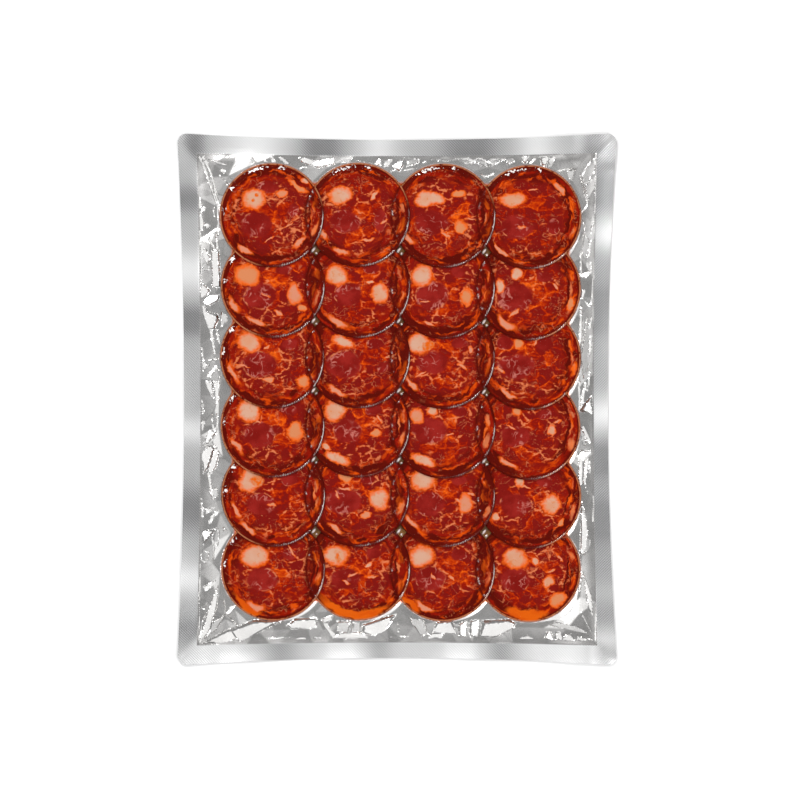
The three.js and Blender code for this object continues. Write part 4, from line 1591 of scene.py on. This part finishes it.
def foil_material(look):
    """Silver foil: crumpled and bright in the margin, knurled and duller in the seal."""
    graph = Graph(bpy.data.materials.new("silver_foil"))
    place = graph.place()
    x, y = graph.axis(place, 0), graph.axis(place, 1)
    half_x, half_y = HALF_WIDTH * MM, HALF_LENGTH * MM
    side = seal_line(y, x, half_y, half_x, SEAL_BOWS[0])
    end = seal_line(x, y, half_x, half_y, SEAL_BOWS[1])
    seal = side.apply("MAXIMUM", end).step(*SEAL_EDGE)
    turns = 2 * math.pi / (look.knurl_pitch * math.sqrt(2))
    rising = ((x - y) * turns).apply("SINE")
    falling = ((x + y) * turns).apply("SINE")
    right = x.step(half_x - RIGHT_STRIP[0], half_x - RIGHT_STRIP[1])
    knurl = rising * (right * 0.7 + 0.3) + falling * (1.0 - right * 0.7)
    fine = graph.noise(place, *FOIL_GRAIN)
    mottle = graph.noise(place, *FOIL_MOTTLE)
    tone = graph.mix(mottle, look.foil_dark, look.foil)
    # The seal's bands are painted light and shade, and its knurl's hatch is painted in light and dark
    # lines as well as bumped.
    band, oil, pocket = graph.mark("band"), graph.mark("oil"), graph.mark("pocket")
    painted_bands_and_hatch = band + knurl * (1.0 - band * 0.75) * (mottle * 0.3 + 0.04)
    tone = graph.mix(seal, tone, graph.mix(painted_bands_and_hatch, look.seal_painted_shade, look.seal))
    tone = graph.mix(oil, tone, look.oil)
    # In the pockets the foil takes the colour of oil and painted shade, and loses its metal shine.
    tone = graph.mix(pocket, tone, look.pocket)
    return graph.principled(
        Base_Color=tone,
        Metallic=(0.95 - pocket - oil * 0.8).apply("MAXIMUM", 0.0),
        Roughness=seal * 0.12 + 0.16 + mottle * 0.04,
        Normal=graph.bump(knurl * seal * 0.5 + fine * 0.1, *KNURL_BUMP),
    )


def film_material(look):
    """Clear film: see-through, with a glossy face that reflects a little, and painted highlights."""
    graph = Graph(bpy.data.materials.new("clear_film"))
    fresnel = graph.node("ShaderNodeFresnel", {}, {"IOR": FILM_INDEX})
    backface = graph.node("ShaderNodeNewGeometry", {}, {}, output=6)
    # Painted highlights near the top and left rims, broken up by noise.
    fleck = graph.mark("fleck")
    breaks = graph.noise(graph.place(), *FLECK_BREAKS)
    fleck = (fleck * 0.5 + breaks * 1.6 - 0.8).step(0.30, 0.42) * fleck.step(0.02, 0.25)
    glossy = fresnel * look.film_gloss + graph.mark("glint") * 0.9 + fleck * 0.8
    haze = graph.noise(graph.place(), *FILM_HAZE)
    # A pale face with a little metal and low roughness: the Fresnel share brings it in as the film's
    # reflection, the painted glints and flecks bring it in as painted highlights.
    sockets = {
        "Base Color": (1.0, 0.88, 0.84),
        "Metallic": 0.15,
        "Roughness": haze * 0.06 + 0.04,
    }
    gloss = graph.node("ShaderNodeBsdfPrincipled", {}, sockets)
    clear = graph.node("ShaderNodeBsdfTransparent", {}, {"Color": (1.0, 1.0, 1.0)})
    sockets = {0: glossy * (1.0 - backface), 1: clear, 2: gloss}
    return graph.finish(graph.node("ShaderNodeMixShader", {}, sockets))


def floor_material(look):
    """A pale matt floor."""
    graph = Graph(bpy.data.materials.new("pale_floor"))
    grain = graph.noise(graph.place(), *FLOOR_GRAIN)
    tone = graph.mix(grain, look.floor, look.floor_light)
    return graph.principled(Base_Color=tone, Roughness=0.8, Specular_IOR_Level=0.1)


# ---------------------------------------------------------------- settings
def length_property(name, description, millimetres):
    """A setting stored in metres."""
    return FloatProperty(
        name=name, description=description, default=millimetres * MM, unit="LENGTH"
    )


def colour_property(name, description, default):
    """A setting for one colour."""
    return FloatVectorProperty(
        name=name, description=description, default=default, size=3, min=0, max=1, subtype="COLOR"
    )


class PackShape(PropertyGroup):
    """The sizes of the foil, the film and the slices."""

    crumple: length_property("Crumple", "Height of the highest made-up creases", 0.9)
    tent: length_property("Tent", "How far the film stands out from a free rim", 1.4)
    film_thickness: length_property("Film thickness", "Thickness of the clear film", 0.06)
    slice_thickness: length_property("Slice thickness", "Thickness of a slice", 1.5)
    shingle_step: length_property("Shingle step", "Climb from a slice to one on top of it", 1.6)


class PackLook(PropertyGroup):
    """The colours and finishes of the pack."""

    fat: colour_property("Fat", "Firm white fat", (0.52, 0.29, 0.20))
    stained: colour_property("Stained fat", "Fat stained by paprika oil", (0.52, 0.185, 0.078))
    pink: colour_property("Pink fat", "Softer pink fat", (0.53, 0.20, 0.12))
    lean: colour_property("Lean", "Dark lean meat", (0.165, 0.006, 0.004))
    lean_light: colour_property("Light lean", "Redder lean meat", (0.25, 0.014, 0.010))
    vein: colour_property("Vein", "Thin fat between fibres", (0.56, 0.16, 0.065))
    sinew: colour_property("Sinew", "Pale threads in the lean", (0.46, 0.14, 0.11))
    paste: colour_property("Paste", "Orange-red paste between the chunks", (0.46, 0.040, 0.001))
    orange: colour_property("Orange", "The brightest orange of the paste", (0.66, 0.092, 0.004))
    red: colour_property("Red", "Red paste", (0.34, 0.018, 0.001))
    grain: colour_property("Grain", "Dark red grains in the paste", (0.22, 0.006, 0.001))
    casing: colour_property("Casing", "Dark rim of a slice", (0.082, 0.003, 0.001))
    oil: colour_property("Oil", "Paprika oil at the rims", (0.57, 0.088, 0.003))
    # Oil and painted shade in the pockets between four slices.
    pocket: colour_property("Pocket", "Dark pockets between four slices", (0.16, 0.065, 0.013))
    foil: colour_property("Foil", "Light silver", (0.75, 0.74, 0.728))
    foil_dark: colour_property("Foil shade", "Darker silver", (0.50, 0.49, 0.48))
    # The seal's painted light and painted shade: the colours of its bright and dark bands.
    seal: colour_property("Seal", "The knurled seal's bright bands", (0.74, 0.74, 0.74))
    seal_painted_shade: colour_property("Seal shade", "The knurled seal's dark bands", (0.19, 0.19, 0.192))
    floor: colour_property("Floor", "Pale floor", (0.88, 0.88, 0.88))
    floor_light: colour_property("Floor light", "Paler grains in the floor", (0.92, 0.92, 0.92))
    knurl_pitch: length_property("Knurl pitch", "Distance between the seal's hatch lines", 0.85)
    film_gloss: FloatProperty(
        name="Film gloss",
        description="How strongly the film reflects, 1 for a bare plastic face",
        default=0.05,
    )

    def marble(self):
        """The paste's colours, from its darkest lean to its palest seam."""
        tones = (self.lean, self.grain, self.red, self.paste, self.orange)
        return list(zip(MARBLE_STOPS, tones))


# ---------------------------------------------------------------- the stage
FLOOR_HALF = 3.0
FLOOR_DROP = 0.0002
# Each lamp: its name, the compass angle it comes from (0 is +X, 90 is +Y), its angle off the
# zenith, its distance, its sides, and its radiance.
LAMPS = [
    ("key", 122, 35, 1.0, (0.35, 0.30), 12.0),
    ("low", -42, 40, 1.0, (0.35, 0.30), 8.0),
]
# The sky's brightness by height, from the horizon at 0 to the zenith at 1.
SKY = [(0.0, 0.3), (0.55, 0.34), (0.68, 1.3), (0.93, 1.45), (0.965, 0.85), (0.985, 0.5),
       (0.996, 0.30), (1.0, 0.21)]
SENSOR_WIDTH = 36.0
VIEW_WIDTH = 0.3554
VIEW_CENTRE = (0.00133, -0.00033)
VIEW_DISTANCE = 2.0
VIEW_TARGET = 0.002  # the height that the view's width is measured at


def add_floor(look):
    """A floor just under the pack."""
    corners = [(-1, -1), (1, -1), (1, 1), (-1, 1)]
    points = np.array([(FLOOR_HALF * x, FLOOR_HALF * y, -FLOOR_DROP) for x, y in corners])
    floor = mesh_object("floor", points, np.array([(0, 1, 2), (0, 2, 3)]))
    floor.data.materials.append(floor_material(look))


def add_camera(context):
    """A camera that looks straight down."""
    data = bpy.data.cameras.new("camera")
    data.sensor_width = SENSOR_WIDTH
    data.lens = SENSOR_WIDTH * VIEW_DISTANCE / VIEW_WIDTH
    camera = bpy.data.objects.new("camera", data)
    camera.location = (*VIEW_CENTRE, VIEW_DISTANCE + VIEW_TARGET)
    context.scene.collection.objects.link(camera)
    context.scene.camera = camera


def add_world(context):
    """A grey sky, bright in a broad ring and darker overhead."""
    graph = Graph(bpy.data.worlds.new("studio"))
    upward = graph.axis(graph.node("ShaderNodeTexCoord"), 2)
    light = graph.ramp(upward, [(height, (level, level, level)) for height, level in SKY])
    background = graph.node("ShaderNodeBackground", {}, {"Color": light})
    context.scene.world = graph.finish(background, "ShaderNodeOutputWorld")


def add_lamp(context, name, compass, zenith, distance, sides, radiance):
    """A soft box that shines at the pack."""
    data = bpy.data.lights.new(name, "AREA")
    data.shape = "RECTANGLE"
    data.size, data.size_y = sides
    data.energy = radiance * math.pi * sides[0] * sides[1]
    lamp = bpy.data.objects.new(name, data)
    out = math.sin(math.radians(zenith)) * distance
    lamp.location = (
        out * math.cos(math.radians(compass)),
        out * math.sin(math.radians(compass)),
        math.cos(math.radians(zenith)) * distance,
    )
    lamp.rotation_euler = (-lamp.location).to_track_quat("-Z", "Y").to_euler()
    context.scene.collection.objects.link(lamp)


# ---------------------------------------------------------------- operators
# The meshes' rings and spacings, in millimetres. Insets are from the pack's edge, and rings from
# a slice's rim, outward. `line` gives the insets of the rings at the seal's inner line,
# `margin` the least inset, the distance from the rims and the spacing, and `under` the distance
# inside the rims and the spacing. `cell` thins points out, and `edge` keeps them off a border.
BORDER_SPACING = 1.5
SEAL_INSETS = (1.5, 3.0, 4.5, 6.0, 7.4)
SEAL_LINE_SPACING = 0.8
EDGE = 1.0
FOIL_MESH = {"line": (8.1, 8.6), "margin": (8.7, -0.6, 0.45), "under": (1.0, 3.5), "cell": 0.26}
FOIL_BACK = {"spacing": 4.0, "edge": 1.5}
FOIL_CREASE = 12  # degrees
SLICE_MESH = {
    "rings": (-0.12, -0.3, -0.6, -1.0, -1.5, -2.1, -2.8, -3.6),
    "beneath": (-0.4, 0.1, 0.5, 0.9, 1.3, 1.7),
    "ring_spacing": 1.0,
    "grid": 1.7,
    "cell": 0.3,
    "edge": 0.1,
}
SLICE_CREASE = 60  # degrees
FILM_BORDER = 0.4
FILM_MESH = {
    "line": (8.1, 8.6, 9.2),
    "margin": (9.6, 1.0, 1.25),
    "under": (3.0, 2.5),
    "rings": (-2.8, -2.1, -1.5, -1.1, 0.7, 1.2, 1.8),
    "ring_spacing": 1.6,
    "fine_rings": (-0.66, -0.53, -0.4, -0.27, -0.08, 0.22),
    "fine_spacing": 1.1,
    "cell": 0.3,
    "fine_cell": 0.1,
}
# The fine strip along a rim, which the coarse points keep off: its middle and half width.
FINE_STRIP = (-0.2, 0.7)
# The fine grid in a pocket, from its middle.
POCKET_GRID = {"low": (-2.0, -1.2), "high": (0.6, 1.6), "spacing": 0.28}


def seal_rings(line_insets):
    """Rings of points along the seal, closer together at its inner line."""
    rings = [loop_inside(inset, BORDER_SPACING) for inset in SEAL_INSETS]
    return rings + [loop_inside(inset, SEAL_LINE_SPACING) for inset in line_insets]


def foil_points():
    """The foil's mesh points inside its border."""
    mesh = FOIL_MESH
    groups = [fold_points(), *seal_rings(mesh["line"])]
    groups += [margin_points(*mesh["margin"]), points_under_slices(*mesh["under"])]
    points = thinned(np.concatenate(groups), mesh["cell"])
    return points[pack_inset(*points.T) > EDGE]


def slice_points(key):
    """A slice's mesh points inside its border, with rings where it drapes over the one beneath."""
    mesh = SLICE_MESH
    middle, radius = np.array(SLICES[key][:2]), SLICES[key][2]
    groups = [rim_circle(key, away, mesh["ring_spacing"]) for away in mesh["rings"]]
    right = (key[0], key[1] + 1)
    if right in SLICES:
        groups += [rim_circle(right, away, mesh["ring_spacing"]) for away in mesh["beneath"]]
    groups.append(grid(middle - radius, middle + radius, mesh["grid"]))
    points = np.concatenate(groups)
    return thinned(points[rim_distance(key, *points.T) < -mesh["edge"]], mesh["cell"])


def film_points():
    """The film's mesh points: fine along the rims and in the pockets, and coarse elsewhere."""
    mesh = FILM_MESH
    coarse, fine = [], []
    for key in SLICES:
        coarse += [rim_circle(key, away, mesh["ring_spacing"]) for away in mesh["rings"]]
        fine += [rim_circle(key, away, mesh["fine_spacing"]) for away in mesh["fine_rings"]]
    coarse += seal_rings(mesh["line"])
    coarse += [margin_points(*mesh["margin"]), points_under_slices(*mesh["under"])]
    for middle in np.array(junctions()):
        corners = middle + POCKET_GRID["low"], middle + POCKET_GRID["high"]
        fine.append(grid(*corners, POCKET_GRID["spacing"]))
    points = thinned(np.concatenate(coarse), mesh["cell"])
    middle, half = FINE_STRIP
    gap = np.min([np.abs(rim_distance(key, *points.T) - middle) for key in SLICES], axis=0)
    fine = thinned(np.concatenate(fine), mesh["fine_cell"])
    points = np.concatenate([points[gap > half], fine])
    return points[pack_inset(*points.T) > EDGE]


class PACK_OT_stage(Operator):
    """Adds the floor, the lights and the camera"""

    bl_idname = "pack.stage"
    bl_label = "Stage"

    def execute(self, context):
        add_floor(context.scene.pack_look)
        add_camera(context)
        add_world(context)
        for lamp in LAMPS:
            add_lamp(context, *lamp)
        context.scene.view_settings.view_transform = "Standard"
        return {"FINISHED"}


class PACK_OT_foil(Operator):
    """Adds the crumpled foil backing"""

    bl_idname = "pack.foil"
    bl_label = "Foil backing"

    def execute(self, context):
        surfaces = Surfaces(context.scene.pack_shape)
        border = loop_inside(0.0, BORDER_SPACING)
        back = pack_grid(FOIL_BACK["spacing"], FOIL_BACK["edge"])
        foil = closed_sheet(
            "foil_sheet", border, foil_points(), surfaces.foil, foil_underside, back
        )
        marks = {"oil": oil_round_slices, "pocket": oil_and_shade_in_pockets, "band": painted_seal_light}
        mark(foil, marks)
        foil.data.materials.append(foil_material(context.scene.pack_look))
        sharpen_edges(foil, FOIL_CREASE)
        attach(foil, BODY)
        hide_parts("backing_foil")
        return {"FINISHED"}


class PACK_OT_slices(Operator):
    """Adds the 24 draped slices"""

    bl_idname = "pack.slices"
    bl_label = "Slices"

    def execute(self, context):
        surfaces = Surfaces(context.scene.pack_shape)
        for key in SLICES:
            piece = closed_sheet(
                "chorizo_" + slice_node(*key),
                rim_circle(key, 0.0, SLICE_MESH["ring_spacing"]),
                slice_points(key),
                functools.partial(surfaces.slice_top, key),
                functools.partial(surfaces.slice_bottom, key),
            )
            piece.data.materials.append(chorizo_material(key, context.scene.pack_look))
            sharpen_edges(piece, SLICE_CREASE)
            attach(piece, BODY)
            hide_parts(slice_node(*key))
        return {"FINISHED"}


class PACK_OT_film(Operator):
    """Adds the clear film drawn down over the slices"""

    bl_idname = "pack.film"
    bl_label = "Clear film"

    def execute(self, context):
        shape = context.scene.pack_shape
        surfaces = Surfaces(shape)
        border = loop_inside(FILM_BORDER, BORDER_SPACING)
        thickness = shape.film_thickness / MM
        film = closed_sheet("film_sheet", border, film_points(), surfaces.film, thickness)
        mark(film, {"glint": painted_rim_glints, "fleck": painted_rim_flecks})
        film.data.materials.append(film_material(context.scene.pack_look))
        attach(film, BODY)
        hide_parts("clear_film")
        return {"FINISHED"}


class PACK_PT_panel(Panel):
    """The pack's steps in the sidebar"""

    bl_label = "Chorizo pack"
    bl_idname = "PACK_PT_panel"
    bl_space_type = "VIEW_3D"
    bl_region_type = "UI"
    bl_category = "Chorizo"

    def draw(self, context):
        for operator in OPERATORS:
            self.layout.operator(operator.bl_idname)


OPERATORS = (PACK_OT_stage, PACK_OT_foil, PACK_OT_slices, PACK_OT_film)
CLASSES = (PackShape, PackLook, *OPERATORS, PACK_PT_panel)


def register():
    """Adds the classes and the settings to Blender."""
    for item in CLASSES:
        bpy.utils.register_class(item)
    bpy.types.Scene.pack_shape = PointerProperty(type=PackShape)
    bpy.types.Scene.pack_look = PointerProperty(type=PackLook)


def unregister():
    """Takes them out again."""
    del bpy.types.Scene.pack_look
    del bpy.types.Scene.pack_shape
    for item in reversed(CLASSES):
        bpy.utils.unregister_class(item)


def main():
    """Builds the whole pack."""
    register()
    bpy.ops.pack.stage()
    bpy.ops.pack.foil()
    bpy.ops.pack.slices()
    bpy.ops.pack.film()


if __name__ == "__main__":
    main()
